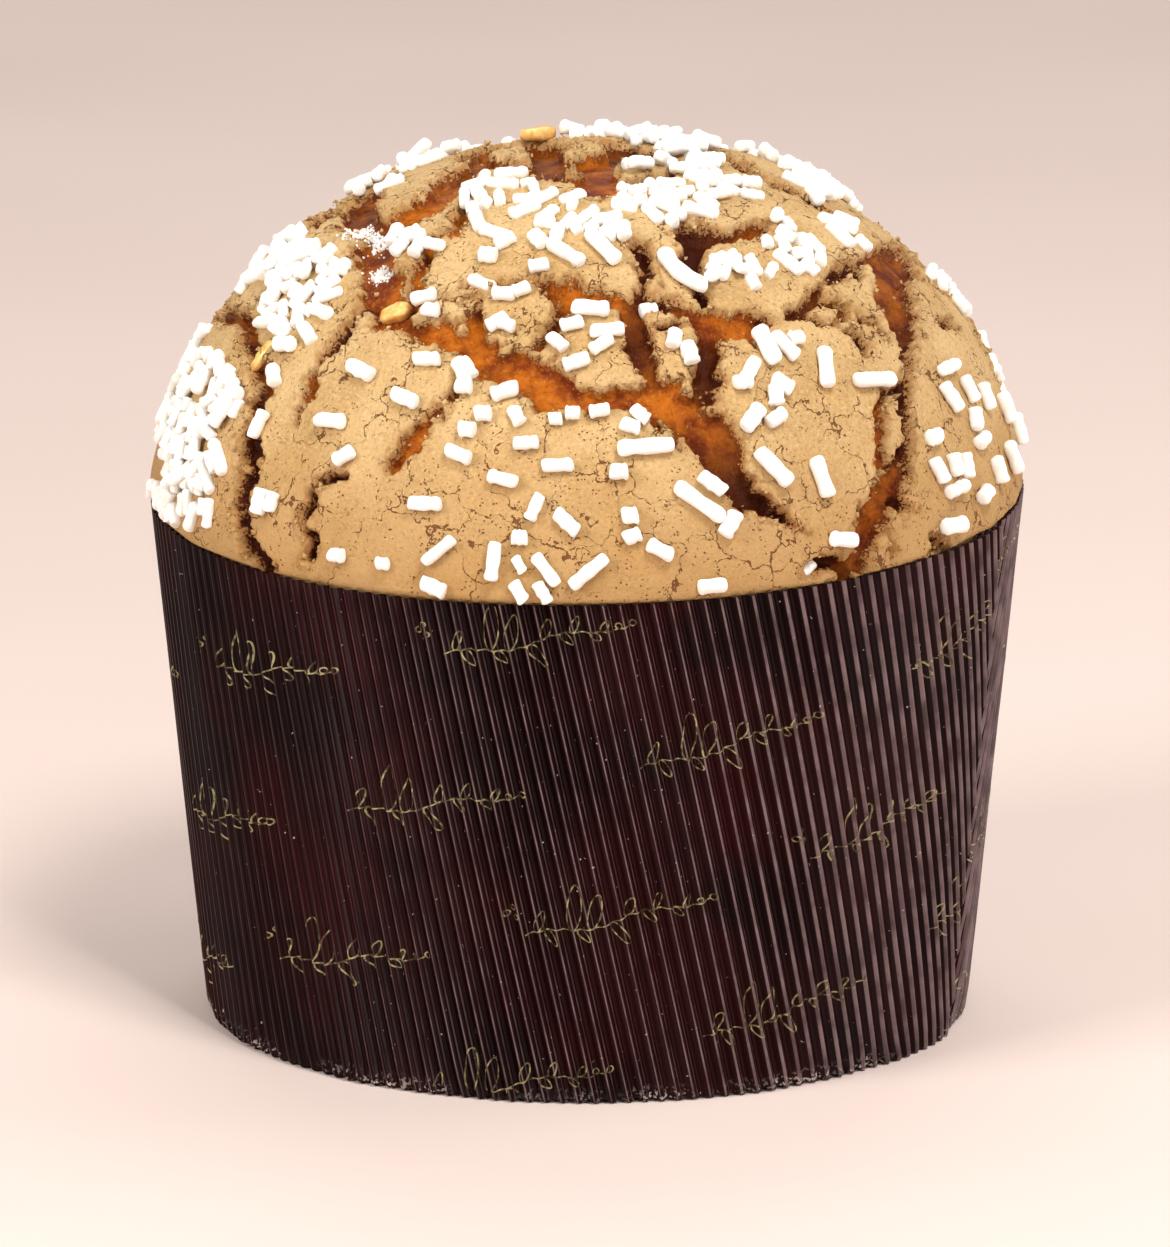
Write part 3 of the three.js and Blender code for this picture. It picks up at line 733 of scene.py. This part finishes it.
def glaze_material():
    """Matte tan almond glaze with pores and hairline cracks, over satin orange-brown crust with painted shade
    under the plates' edges and in the deep clefts.
    """
    skin = Nodes("glazed_crust")
    edge = skin.node("Attribute", attribute_name="edge").outputs["Fac"]
    depth = skin.node("Attribute", attribute_name="depth").outputs["Fac"]
    ragged = skin.plus(edge, skin.ramp(skin.noise(0.8, 3, 0.65), 0.3, 0.7, -0.4, 0.4))
    on_plate = skin.ramp(ragged, -0.25, -0.1)
    # the glaze's own colour, mottled finely
    patches = skin.noise(16, 3)
    grain = skin.noise(0.8, 5, 0.75)
    glaze = skin.mix(skin.ramp(patches, 0.3, 0.7), TAN, PALE_TAN)
    glaze = skin.mix(skin.ramp(grain, 0.5, 0.68, 0, 0.55), glaze, ALMOND_MEAL)
    glaze = skin.mix(skin.ramp(grain, 0.46, 0.32, 0, 0.85), glaze, BROWN_MEAL)
    # darker towards the rim, and toasted along the plates' edges
    height = skin.node("SeparateXYZ", {0: skin.place(1)}).outputs["Z"]
    glaze = skin.mix(skin.ramp(height, 152, 118, 0, 0.6), glaze, LOWER_DOME_TONE)
    toast = skin.times(skin.ramp(edge, 1.9, 0.1), skin.ramp(skin.noise(1.6, 3), 0.42, 0.58))
    toast = skin.larger(toast, skin.ramp(edge, 0.6, -0.1, 0, 0.9))
    glaze = skin.mix(skin.times(toast, 0.68), glaze, TOASTED_EDGE)
    # pores
    warp = skin.noise(3, 2, output="Color")
    bent = skin.node("VectorMath", {0: skin.place(1.05), 1: warp}, operation="ADD").outputs[0]
    cells = skin.node("TexVoronoi", {"Vector": bent, "Scale": 1.0, "Randomness": 1.0})
    keep = skin.ramp(skin.noise(4.2, 1), 0.42, 0.6, 0.07, 0.22)
    pore = skin.minus(keep, cells.outputs["Distance"])
    pore = skin.ramp(pore, 0.0, 0.06)
    # hairline cracks: a net of fine lines, and thicker ones here and there
    warp = skin.noise(4, 4, output="Color")
    warp = skin.node("VectorMath", {0: warp, 3: 0.8}, operation="SCALE").outputs[0]
    bent = skin.node("VectorMath", {0: skin.place(11), 1: warp}, operation="ADD").outputs[0]
    nets = skin.node("TexVoronoi", {"Vector": bent, "Scale": 1.0}, feature="DISTANCE_TO_EDGE")
    pits = skin.ramp(skin.noise(1.3, 2), 0.4, 0.6, 0.3, 1)
    width = skin.times(skin.ramp(skin.noise(13, 2), 0.36, 0.62), pits)
    line = skin.minus(skin.times(width, 0.026), nets.outputs["Distance"])
    line = skin.ramp(line, 0.0, 0.008)
    marks = skin.larger(pore, line)
    glaze = skin.mix(skin.times(marks, 0.88), glaze, PORE)
    # the crust in the cracks, with painted shade under the plates' edges and in the deep clefts
    fibres = skin.noise(1.1, 5, 0.7)
    amber = skin.mix(skin.ramp(skin.noise(7, 3), 0.35, 0.65), DEEP_AMBER, AMBER)
    amber = skin.mix(skin.ramp(fibres, 0.5, 0.7, 0, 0.45), amber, PALE_FIBRE)
    amber = skin.mix(skin.ramp(fibres, 0.47, 0.32, 0, 0.45), amber, DARK_FIBRE)
    # Painted shade: the crust darkens under the plates' overhanging edges, more so in deeper cracks.
    under = skin.times(skin.ramp(edge, -1.2, 0.0), skin.ramp(depth, 0.0, 0.6, 0.2, 0.8))
    amber = skin.mix(under, amber, PAINTED_UNDER_EDGE_SHADE)
    # Painted shade: the deep clefts go nearly black towards their middles.
    cleft_shade = skin.times(skin.ramp(depth, 0.1, 0.9, 0, 0.95), skin.ramp(edge, 0.2, -0.55))
    crust = skin.mix(cleft_shade, amber, PAINTED_CLEFT_SHADE)
    skin.set(Base_Color=skin.mix(on_plate, crust, glaze))
    skin.set(Roughness=skin.plus(skin.times(on_plate, 0.42), 0.3), Specular_IOR_Level=0.11)
    rough = skin.minus(skin.times(grain, 1.1), skin.times(marks, 1.2))
    rough = skin.times(rough, skin.ramp(on_plate, 0, 1, 0.6, 1))
    crumble = skin.times(skin.noise(0.9, 3, 0.6), skin.ramp(edge, 1.8, 0.3))
    rough = skin.plus(rough, skin.times(crumble, 1.2))
    skin.set(Normal=skin.bump(rough, 0.45, 1.0))
    return skin.material


glaze_finish = glaze_material()
loaf.data.materials.append(glaze_finish)
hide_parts("loaf")
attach(loaf, "root")

# ---------------------------------------------------------------------------------------------------------
# Glaze crumbs: grains of dry glaze that broke off along the plates' edges and cling there.
rng = np.random.default_rng(5)
CRUMBS = 2600
CRUMBS_IN_CRACKS = 400
CRUMB_SIZES = (0.16, 0.75)
CRUMB_SCATTER = 0.25
# How far in from a plate's edge they cling, and how far past it into a crack they fall.
CLING_FROM, CLING_TO, FALL_TO = 0.2, 1.5, -2.5
OCTAHEDRON = [(0, 2, 4), (2, 1, 4), (1, 3, 4), (3, 0, 4), (2, 0, 5), (1, 2, 5), (3, 1, 5), (0, 3, 5)]
OCTAHEDRON_CORNERS = np.array([(1, 0, 0), (-1, 0, 0), (0, 1, 0), (0, -1, 0), (0, 0, 1), (0, 0, -1)], float)


def random_turns(*count):
    """Rotations drawn from the generator, one for each item of an array of that shape."""
    turned = np.linalg.qr(rng.normal(size=(*count, 3, 3)))[0]
    return turned * np.sign(np.linalg.det(turned))[..., None, None]


def glaze_crumbs():
    """Grains on the loaf's own points near the plates' edges. Returns points, faces and the edge value that
    colours each point."""
    above = loaf_points[:, 2] > RIM_HEIGHT - 2
    near = np.flatnonzero((loaf_edge > CLING_FROM) & (loaf_edge < CLING_TO) & above)
    inside = np.flatnonzero((loaf_edge > FALL_TO) & (loaf_edge < CLING_FROM) & above)
    clinging = rng.choice(near, CRUMBS - CRUMBS_IN_CRACKS, replace=False)
    chosen = np.concatenate([clinging, rng.choice(inside, CRUMBS_IN_CRACKS, replace=False)])
    sizes = rng.gamma(3.0, 0.13, CRUMBS).clip(*CRUMB_SIZES)
    corners = OCTAHEDRON_CORNERS[None] * sizes[:, None, None] * rng.uniform(0.6, 1.3, (CRUMBS, 6, 1))
    turned = random_turns(CRUMBS)
    spots = loaf_points[chosen] + rng.normal(0, CRUMB_SCATTER, (CRUMBS, 3))
    points = spots[:, None] + corners @ turned
    faces = np.array(OCTAHEDRON)[None] + 6 * np.arange(CRUMBS)[:, None, None]
    shade = np.repeat(rng.uniform(0.4, 3.0, CRUMBS), 6)
    return points.reshape(-1, 3), faces.reshape(-1, 3), shade


crumb_points, crumb_faces, crumb_edge = glaze_crumbs()
crumbs = mesh_object("glaze_crumbs", crumb_points, crumb_faces, smooth=False)
store(crumbs, "edge", crumb_edge)
crumbs.data.materials.append(glaze_finish)
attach(crumbs, "root")

# ---------------------------------------------------------------------------------------------------------
# Sugar nibs: short rods of pressed sugar, strewn on the wet glaze and stuck as it baked. The single ones lie
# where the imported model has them; the heaps on the shoulders, the crown and the back are strewn here.
rng = np.random.default_rng(12)
NIB_SIDES = 12
THICKEST_NIB = 3.5
# How high a nib's middle stands, as a share of its thickness, and how much of the glaze's bumps it rides
# over.
STANDS = 0.38
RIDES = 0.8
NIB_ENDS = [(-0.5, 0.42), (-0.485, 0.74), (-0.45, 0.92), (-0.37, 1.02), (-0.2, 0.95), (0.0, 1.0)]
NIB_PROFILE = NIB_ENDS + [(-share, size) for share, size in reversed(NIB_ENDS[:-1])]


def nib_shape(length, diameter, bend):
    """One rod along X, its underside towards -Z, rough and unevenly broken at its ends."""
    around = np.arange(NIB_SIDES) * 2 * math.pi / NIB_SIDES
    waist = 1 + 0.06 * np.sin(2 * around + rng.uniform(0, 6)) + 0.05 * np.sin(3 * around + rng.uniform(0, 6))
    tilts = rng.uniform(-0.22, 0.22, 2)
    rows = []
    for share, size in NIB_PROFILE:
        radius = diameter / 2 * size * waist * (1 + rng.normal(0, 0.035, NIB_SIDES))
        radius = radius * (1 + 0.06 * math.sin(share * 11 + tilts[0] * 20))
        sideways, upward = radius * np.cos(around), radius * np.sin(around)
        tilt = tilts[0] if share < 0 else tilts[1]
        slant = tilt * sideways * abs(share) * 2
        rows.append(np.stack([share * length + slant, sideways, upward], -1))
    middle = np.array([[-length / 2 * 1.01, 0, 0], [length / 2 * 1.01, 0, 0]])
    points = np.concatenate(rows + [middle])
    if bend:
        arc = length / bend
        turn = points[:, 0] / arc
        reach = arc - points[:, 1]
        points[:, 0], points[:, 1] = reach * np.sin(turn), arc - reach * np.cos(turn)
    return points


def rod_faces(rows, sides):
    """A closed rod's faces, for points in rows round it followed by the middle point of each end."""
    faces = []
    for row in range(rows - 1):
        for side in range(sides):
            a, b = row * sides + side, row * sides + (side + 1) % sides
            faces.append((a, b, b + sides, a + sides))
    last = (rows - 1) * sides
    for side in range(sides):
        after = (side + 1) % sides
        faces.append((rows * sides, after, side))
        faces.append((rows * sides + 1, last + side, last + after))
    return faces


# A triangle repeats its last corner here, so that all faces fit one array.
NIB_FACES = np.array([(*face, face[-1])[:4] for face in rod_faces(len(NIB_PROFILE), NIB_SIDES)])


def surface_at(bearing, climb):
    """The glazed surface at a place: its point, the directions outward, to the right and up the dome, and
    how far into a plate it lies."""
    base = on_dome(np.array([bearing]), np.array([climb]))
    out = dome_normal(np.array([bearing]), np.array([climb]))[0]
    height, edge, _ = relief(base)
    height = height + swell(base)
    east = np.array([math.cos(math.radians(bearing)), math.sin(math.radians(bearing)), 0])
    up = np.cross(out, east)
    return base[0] + out * height[0], out, east, up, edge[0]


def seat(spot, direction, length):
    """How far the glaze under a nib's length stands above the glaze under its middle."""
    places = spot + np.outer(np.linspace(-0.42, 0.42, 5) * length, direction)
    heights = relief(places)[0] + swell(places)
    return max(0, float(heights.max() - heights[2]))


class Strewn:
    """The nibs laid so far: their middles, directions, half-lengths and radii, and their meshes by group."""

    def __init__(self):
        self.rods = []
        self.points = []
        self.faces = []
        self.count = 0

    def clash(self, middle, direction, half, radius):
        """How deep a new rod would sink into those already laid, at its worst."""
        if not self.rods:
            return 0
        near = [rod for rod in self.rods if np.abs(rod[0] - middle).max() < half + rod[2] + radius * 2]
        worst = 0
        for other, along, other_half, other_radius in near:
            ours = middle + np.outer(np.linspace(-1, 1, 5) * half, direction)
            theirs = other + np.outer(np.linspace(-1, 1, 5) * other_half, along)
            apart = np.linalg.norm(ours[:, None] - theirs[None], axis=-1).min()
            worst = max(worst, radius + other_radius - apart)
        return worst

    def lay(self, middle, direction, out, length, diameter, bend=0.0):
        across = np.cross(out, direction)
        across /= np.linalg.norm(across)
        upward = np.cross(direction, across)
        shape = nib_shape(length, diameter, bend)
        self.points.append(middle + shape @ np.stack([direction, across, upward]))
        self.faces.append(NIB_FACES + self.count)
        self.count += len(shape)
        self.rods.append((middle, direction, max(length - diameter, 0) / 2, diameter / 2))

    def piece(self, name):
        points = np.concatenate(self.points)
        faces = [tuple(f[:3]) if f[2] == f[3] else tuple(f) for f in np.concatenate(self.faces).tolist()]
        made = mesh_object(name, points, faces)
        self.points, self.faces, self.count = [], [], 0
        return made


strewn = Strewn()
packed_dome_radius = widest("loaf", RIM_HEIGHT - 0.5, RIM_HEIGHT + 0.5)


def bearing_and_climb(point):
    """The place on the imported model's plainer dome under a point."""
    bearing = math.degrees(math.atan2(point[0], -point[1]))
    tries = np.linspace(-8, 90, 981)
    spots = on_dome(np.full(len(tries), 90.0), tries)
    radii = (spots[:, 0] - DOME_LEAN * np.maximum(spots[:, 2] - RIM_HEIGHT, 0) / DOME_HEIGHT)
    radii = radii * packed_dome_radius / DOME_RADIUS
    apart = np.hypot(radii - math.hypot(point[0], point[1]), spots[:, 2] - point[2])
    return bearing, float(tries[apart.argmin()])


CHALK = (0.90, 0.885, 0.85, 1)
CREAM = (0.84, 0.80, 0.72, 1)


def sugar_material():
    """Pressed sugar: chalky white, a little see-through at its edges, with a fine crystal grain."""
    sugar = Nodes("sugar")
    grain = sugar.noise(0.35, 3, 0.65)
    tone = sugar.mix(sugar.ramp(sugar.noise(3, 2), 0.35, 0.75), CHALK, CREAM)
    sugar.set(Base_Color=tone, Roughness=0.6, Normal=sugar.bump(grain, 0.12, 0.7))
    sugar.set(Subsurface_Weight=0.35, Subsurface_Radius=(0.0012, 0.001, 0.0008), Subsurface_Scale=1.0)
    return sugar.material


sugar_finish = sugar_material()


def finish_nibs(name, nodes=()):
    """Turns the nibs laid since the last call into one piece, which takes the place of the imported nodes."""
    made = strewn.piece(name)
    made.data.materials.append(sugar_finish)
    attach(made, "root")
    if nodes:
        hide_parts(*nodes)


def lay_packed_nib(node):
    """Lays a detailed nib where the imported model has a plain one, and as long, as thick and as bent."""
    points = np.array([v.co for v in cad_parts[node].data.vertices]) / MM
    middle = (points.min(0) + points.max(0)) / 2
    spread = points - points.mean(0)
    direction = np.linalg.svd(spread, full_matrices=False)[2][0]
    along = spread @ direction
    length = float(np.ptp(along))
    bearing, climb = bearing_and_climb(middle)
    spot, out, east, up, _ = surface_at(bearing, climb)
    if direction @ east < 0:
        direction = -direction
    side = np.cross(out, direction)
    sideways = spread @ side
    thick = float(np.ptp(spread @ out))
    sag = float(np.ptp(sideways)) - thick
    bend = 0.0
    if sag > 0.5:
        bowed = sideways[np.abs(along) < length / 4].mean() - sideways[np.abs(along) > length / 3].mean()
        bend = math.copysign(1.1, bowed)
    thick = min(thick, THICKEST_NIB)
    direction = direction - out * (direction @ out)
    direction /= np.linalg.norm(direction)
    rise = RIDES * seat(spot, direction, length)
    strewn.lay(spot + out * (thick * STANDS + rise), direction, out, length, thick, bend)


packed_nibs = sorted(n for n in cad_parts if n.startswith("sugar_nib_"))
for nib_node in packed_nibs:
    lay_packed_nib(nib_node)
finish_nibs("single_sugar_nibs", packed_nibs)

# More single nibs between those: bearing, climb, turn from level, length and diameter.
MORE_NIBS = [
    (-53, 33, -45, 5, 3.2), (-26.5, 4, 0, 2.8, 2.7), (-8.6, 6, -60, 3.9, 2.1), (5.5, 11.8, 20, 3.8, 3),
    (-15.4, 31.9, 0, 3.6, 3.5), (-10.5, 31.8, -60, 4.3, 2.9), (-19, 36, 0, 3.5, 3.4),
    (-5, 31.5, 0, 2.9, 2.8), (-2.6, 32.4, 0, 3.2, 3.1), (5.5, 30.3, -20, 4.3, 3),
    (26.7, 30, 25, 4.6, 3.3), (-20, 38.6, -55, 5.5, 3), (27.5, 33.7, 80, 4.6, 3.3),
    (29, 35.3, -40, 5, 3.3), (22.8, 36.2, 0, 4, 3.4), (24.5, 38, 50, 6, 3.2), (31.5, 41.3, -60, 7.5, 3),
    (34, 42.2, 0, 3.3, 3.2), (13.2, 44, 70, 4, 3.4), (15.3, 41.5, 95, 5, 3.4),
    (10.2, 50.4, 0, 3.7, 3.5), (-2.4, 40.6, 22, 5.8, 3), (1.5, 43.5, 35, 5.5, 3),
    (-5.6, 43.8, -40, 4.8, 3), (2.4, 45.8, 5, 7.3, 3.1), (-3.5, 46.9, 15, 5, 3), (-16.3, 47, 40, 5, 3),
    (-14.6, 46.6, -20, 4, 3), (-16.5, 51.9, 0, 5, 3.2), (-13.4, 52.7, 30, 3.8, 3),
    (-28.7, 47.8, 0, 3.5, 3.3), (-31.6, 50, 25, 5.5, 3.1), (-22.2, 54.3, -22, 6.2, 3.2),
    (-22.5, 58.7, 0, 3.8, 3.6), (-20.5, 61.7, 50, 4.5, 3), (-12.6, 62.2, -50, 4.7, 3.3),
    (-11, 57, 15, 4.4, 3), (6.9, 63.5, 90, 4.4, 3.2), (2, 60.5, -58, 11, 3.2),
    (-45, 12.8, 85, 4.4, 2.8), (-42.5, 60, 20, 6, 3), (-44, 58, 90, 5, 3),
    # tucked in at the rim
    (-19.5, -1.2, -20, 5.6, 3.3), (-8.5, -1.0, -60, 5, 2.8), (-5.5, -1.0, -60, 5, 2.8),
    (15.7, -0.4, 3, 6.2, 3.2), (29.7, 0.2, 40, 5, 3),
    # on the right shoulder
    (62, 27.7, -70, 7, 3), (68, 27.5, 95, 6, 3), (72.5, 25, 80, 6, 3), (66, 22.8, 60, 5, 3),
    (66, 19, 10, 5, 3.1), (80, 21, 95, 7, 3.1), (54, 22.5, 0, 4, 3.4), (53, 16.8, -70, 6, 3),
    (57, 16.9, 90, 5, 3.1), (60, 16, 80, 5.5, 3), (54.8, 12.5, 0, 3.2, 3), (57, 12.7, 0, 3.3, 3.1),
    (69, 12.5, -80, 6, 3.1), (63, 9.5, 20, 4.5, 3.2), (77, 12.5, -65, 8, 3.1), (88, 26, 95, 6, 3),
    (90, 14, 95, 7, 3),
]


def lay_on_glaze(bearing, climb, turn, length, diameter):
    """Lays a nib flat on the glaze, turned from level by an angle in degrees."""
    spot, out, east, up, _ = surface_at(bearing, climb)
    angle = math.radians(turn)
    direction = east * math.cos(angle) + up * math.sin(angle)
    rise = RIDES * seat(spot, direction, length)
    strewn.lay(spot + out * (diameter * STANDS + rise), direction, out, length, diameter)


for row in MORE_NIBS:
    lay_on_glaze(*row)
finish_nibs("more_single_nibs")

# The strewn nibs' lengths and thicknesses, the length from which one may be bent, how many falls are tried
# for each nib wanted, how far onto a plate it has to fall, how far two may sink into each other, and how
# much further in the upper layer.
NIB_LENGTH, NIB_LENGTH_SPREAD = 5.6, 1.9
NIB_LENGTHS = (2.9, 10)
NIB_DIAMETERS = (2.5, 3.2)
LONG_NIB = 8
FALLS = 14
LEAST_EDGE = 0.8
MOST_SINK, SINK_PER_LAYER = 0.45, 0.6

# Heaps: the group they belong to, bearing, climb, reach in millimetres round and up the dome, nibs, and
# whether they pile up.
HEAPS = [
    ("left_shoulder", -64, 50, 15, 8, 26, True),
    ("left_shoulder", -60, 43, 13, 6, 11, False),
    ("left_shoulder", -86, 48, 12, 9, 14, False),
    ("left_side", -70, 28, 19, 9, 24, True),
    ("left_side", -69, 17, 20, 11, 34, True),
    ("left_side", -92, 22, 12, 18, 12, False),
    ("left_side", -62, 9, 9, 7, 9, False),
    ("left_side", -74, 4, 14, 4, 11, False),
    ("upper_left", -43, 60, 7, 3, 7, False),
    ("upper_left", -92, 67, 8, 3, 8, False),
    ("crown", -42, 73, 13, 9, 11, False),
    ("crown", -22, 68, 10, 10, 7, False),
    ("crown", -8, 66, 5, 10, 6, False),
    ("crown", 1, 65, 4, 6, 5, False),
    ("crown", 9, 70, 7, 10, 5, False),
    ("crown", 22, 71, 9, 8, 11, False),
    ("crown", 46, 74, 11, 7, 10, True),
    ("crown", 60, 82, 12, 6, 12, True),
    ("crown", 140, 82, 20, 7, 34, True),
    ("upper_right", 30, 55, 8, 5, 9, True),
    ("upper_right", 47, 59, 7, 8, 12, False),
    ("upper_right", 68, 59, 6, 6, 4, False),
    ("upper_right", 98, 66, 15, 5, 22, True),
    ("right_side", 92, 42, 6, 9, 7, False),
    ("right_side", 106, 22, 14, 16, 12, False),
    ("back", 128, 62, 26, 14, 36, True),
    ("back", 150, 30, 36, 22, 34, False),
    ("back", 188, 58, 24, 14, 28, True),
    ("back", 222, 33, 28, 20, 38, False),
    ("back", 240, 66, 22, 12, 28, True),
    ("back", 126, 20, 20, 14, 18, False),
    ("back", 185, 17, 26, 14, 20, False),
]


def place_near(bearing, climb, to_right, to_top):
    """The place that many millimetres to the right of and above another on the dome."""
    circle = max(DOME_RADIUS * math.cos(math.radians(min(max(climb, 0), 88))) ** DOME_FULLNESS, 8)
    return bearing + math.degrees(to_right / circle), min(climb + to_top / 1.5, 89)


def strew(bearing, climb, reach_round, reach_up, wanted, piles):
    """Strews a heap: each nib falls at a seeded place and lies flat where it can, else on those below it."""
    laid = 0
    for _ in range(wanted * FALLS):
        if laid == wanted:
            return
        distance = math.sqrt(rng.uniform(0, 1))
        angle = rng.uniform(0, 2 * math.pi)
        to_right = reach_round * distance * math.cos(angle)
        to_top = reach_up * distance * math.sin(angle)
        spot, out, east, up, edge = surface_at(*place_near(bearing, climb, to_right, to_top))
        if edge < LEAST_EDGE:
            continue
        length = float(np.clip(rng.normal(NIB_LENGTH, NIB_LENGTH_SPREAD), *NIB_LENGTHS))
        diameter = float(rng.uniform(*NIB_DIAMETERS))
        turn = rng.uniform(0, math.pi)
        tilt = rng.normal(0, 0.08)
        flat = east * math.cos(turn) + up * math.sin(turn)
        half = max(length - diameter, 0) / 2
        rise = 0.5 * seat(spot, flat, length)
        for layer in range(2 if piles else 1):
            direction = flat * math.cos(tilt) + out * math.sin(tilt)
            middle = spot + out * (diameter * (0.2 + 0.42 * layer) + rise)
            if strewn.clash(middle, direction, half, diameter / 2) < MOST_SINK + SINK_PER_LAYER * layer:
                bend = rng.normal(0, 0.5) if length > LONG_NIB else 0.0
                strewn.lay(middle, direction, out, length, diameter, bend)
                laid += 1
                break
            tilt = rng.normal(0, 0.2)


for group in dict.fromkeys(heap[0] for heap in HEAPS):
    for heap in HEAPS:
        if heap[0] == group:
            strew(*heap[1:])
    finish_nibs("sugar_nibs_" + group)

# Sugar dust: grains ground off the nibs, caught on the crust of the left shoulder. Each patch has its
# bearing, climb, reach in millimetres round and up the dome, and grains.
GRAIN_SIZES = (0.15, 0.42)
DUST = [(-61, 59.5, 6.2, 3.4, 640), (-48.5, 54.5, 3.2, 2.4, 240), (-69, 61, 3.2, 2.0, 110)]


def sugar_dust():
    """Seeded grains scattered about each patch, thickest at its middle."""
    points, faces, total = [], [], 0
    for bearing, climb, reach_round, reach_up, count in DUST:
        for _ in range(count):
            to_right, to_top = rng.normal(0, 0.45, 2) * (reach_round, reach_up)
            spot, out, _, _, _ = surface_at(*place_near(bearing, climb, to_right, to_top))
            turned = random_turns()
            size = rng.uniform(*GRAIN_SIZES)
            points.append(spot + out * size * 0.4 + OCTAHEDRON_CORNERS * size @ turned)
            faces.append(np.array(OCTAHEDRON) + total)
            total += 6
    return np.concatenate(points), np.concatenate(faces)


dust = mesh_object("sugar_dust", *sugar_dust(), smooth=False)
dust.data.materials.append(sugar_finish)
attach(dust, "root")

# ---------------------------------------------------------------------------------------------------------
# Candied peel: small bars cut from candied orange and citron rind, half see-through, that came up through
# the dough and stuck out of its crust.
PEEL_SIDES = 16
PEEL_ROWS = 11
THICKEST_PEEL = 3


def peel_shape(length, width, thickness):
    """A bar along X with rounded edges, dimpled sides and uneven ends."""
    around = np.arange(PEEL_SIDES) * 2 * math.pi / PEEL_SIDES
    squared = (np.abs(np.cos(around)) ** 5 + np.abs(np.sin(around)) ** 5) ** -0.2
    rows = []
    for share in np.linspace(-1, 1, PEEL_ROWS):
        size = (1 - abs(share) ** 6) ** 0.5 * 0.9 + 0.1
        size = size * squared * (1 + rng.normal(0, 0.045, PEEL_SIDES)) * (1 + 0.09 * math.sin(share * 4 + 1))
        sideways, upward = width / 2 * size * np.cos(around), thickness / 2 * size * np.sin(around)
        rows.append(np.stack([share * length / 2 + 0.12 * sideways, sideways, upward], -1))
    return np.concatenate(rows + [np.array([[-length * 0.51, 0, 0], [length * 0.51, 0, 0]])])


DEEP_RIND = (0.62, 0.32, 0.07, 1)
PALE_RIND = (0.84, 0.55, 0.20, 1)


def peel_material():
    """Rind boiled in syrup: amber yellow, half see-through, with a soft sheen."""
    peel = Nodes("candied_peel")
    tone = peel.mix(peel.ramp(peel.noise(2.2, 3), 0.35, 0.65), DEEP_RIND, PALE_RIND)
    peel.set(Base_Color=tone, Roughness=0.38, Normal=peel.bump(peel.noise(0.9, 3), 0.2, 0.7))
    peel.set(Subsurface_Weight=0.4, Subsurface_Radius=(0.003, 0.0012, 0.0004), Subsurface_Scale=1.0)
    return peel.material


peel_finish = peel_material()
for peel_node in sorted(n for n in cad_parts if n.startswith("candied_peel_")):
    spread = np.array([v.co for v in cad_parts[peel_node].data.vertices]) / MM
    middle = (spread.min(0) + spread.max(0)) / 2
    direction = np.linalg.svd(spread - spread.mean(0), full_matrices=False)[2][0]
    length = float(np.ptp(spread @ direction))
    spot, out, _, _, _ = surface_at(*bearing_and_climb(middle))
    direction = direction - out * (direction @ out)
    direction /= np.linalg.norm(direction)
    side = np.cross(out, direction)
    width, thickness = float(np.ptp(spread @ side)), float(np.ptp(spread @ out))
    thickness = min(thickness, THICKEST_PEEL)
    shape = peel_shape(length, width * 0.9, thickness)
    height = 0.35 * thickness + RIDES * seat(spot, direction, length)
    shape = spot + out * height + shape @ np.stack([direction, side, out])
    bit = mesh_object("peel_bar_" + peel_node[-2:], shape, rod_faces(PEEL_ROWS, PEEL_SIDES))
    bit.data.materials.append(peel_finish)
    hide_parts(peel_node)
    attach(bit, "root")

# ---------------------------------------------------------------------------------------------------------
# Stage: a plain pale floor, a soft main light in front at the upper right, another at the upper left, a
# strip that draws the pleats, a weak one out to the right, and a large one overhead behind the loaf.
REACH = 9000
PALE_ROSE = (0.64, 0.515, 0.465, 1)
PALER_ROSE = (0.715, 0.59, 0.54, 1)
stage_corners = [(-REACH, -REACH, 0), (REACH, -REACH, 0), (REACH, REACH, 0), (-REACH, REACH, 0)]
stage_floor = mesh_object("stage_floor", stage_corners, [(0, 1, 2, 3)])
floor_paint = Nodes("stage_paint")
floor_paint.set(Base_Color=floor_paint.mix(floor_paint.noise(260, 2), PALE_ROSE, PALER_ROSE))
floor_paint.set(Roughness=0.9)
stage_floor.data.materials.append(floor_paint.material)


def soft_light(name, place, size, power, tint):
    """A rectangular soft box aimed at the middle of the loaf."""
    light = bpy.data.lights.new(name, "AREA")
    light.shape = "RECTANGLE"
    light.size, light.size_y = size
    light.energy = power
    light.color = tint
    lamp = bpy.data.objects.new(name, light)
    lamp.location = place
    lamp.rotation_euler = (Vector((0, 0, 0.1)) - Vector(place)).to_track_quat("-Z", "Y").to_euler()
    bpy.context.scene.collection.objects.link(lamp)


soft_light("key", (0.45, -1.0, 1.65), (0.5, 0.6), 29.5, (1.0, 0.98, 0.95))
soft_light("pleat_strip", (0.52, -1.3, 0.45), (0.06, 0.9), 6, (1.0, 0.97, 0.97))
soft_light("right", (1.25, 0.3, 0.45), (0.8, 0.9), 8, (1.0, 0.97, 0.97))
soft_light("left", (-1.2, -0.9, 0.95), (0.7, 0.9), 23, (1.0, 0.98, 0.95))
soft_light("overhead", (0.0, 1.6, 2.2), (2.0, 2.0), 33, (1.0, 0.98, 0.95))
world = bpy.data.worlds.new("studio")
world.use_nodes = True
world.node_tree.nodes["Background"].inputs["Color"].default_value = (1.0, 0.91, 0.87, 1)
world.node_tree.nodes["Background"].inputs["Strength"].default_value = 0.2
bpy.context.scene.world = world
bpy.context.scene.view_settings.view_transform = "Standard"
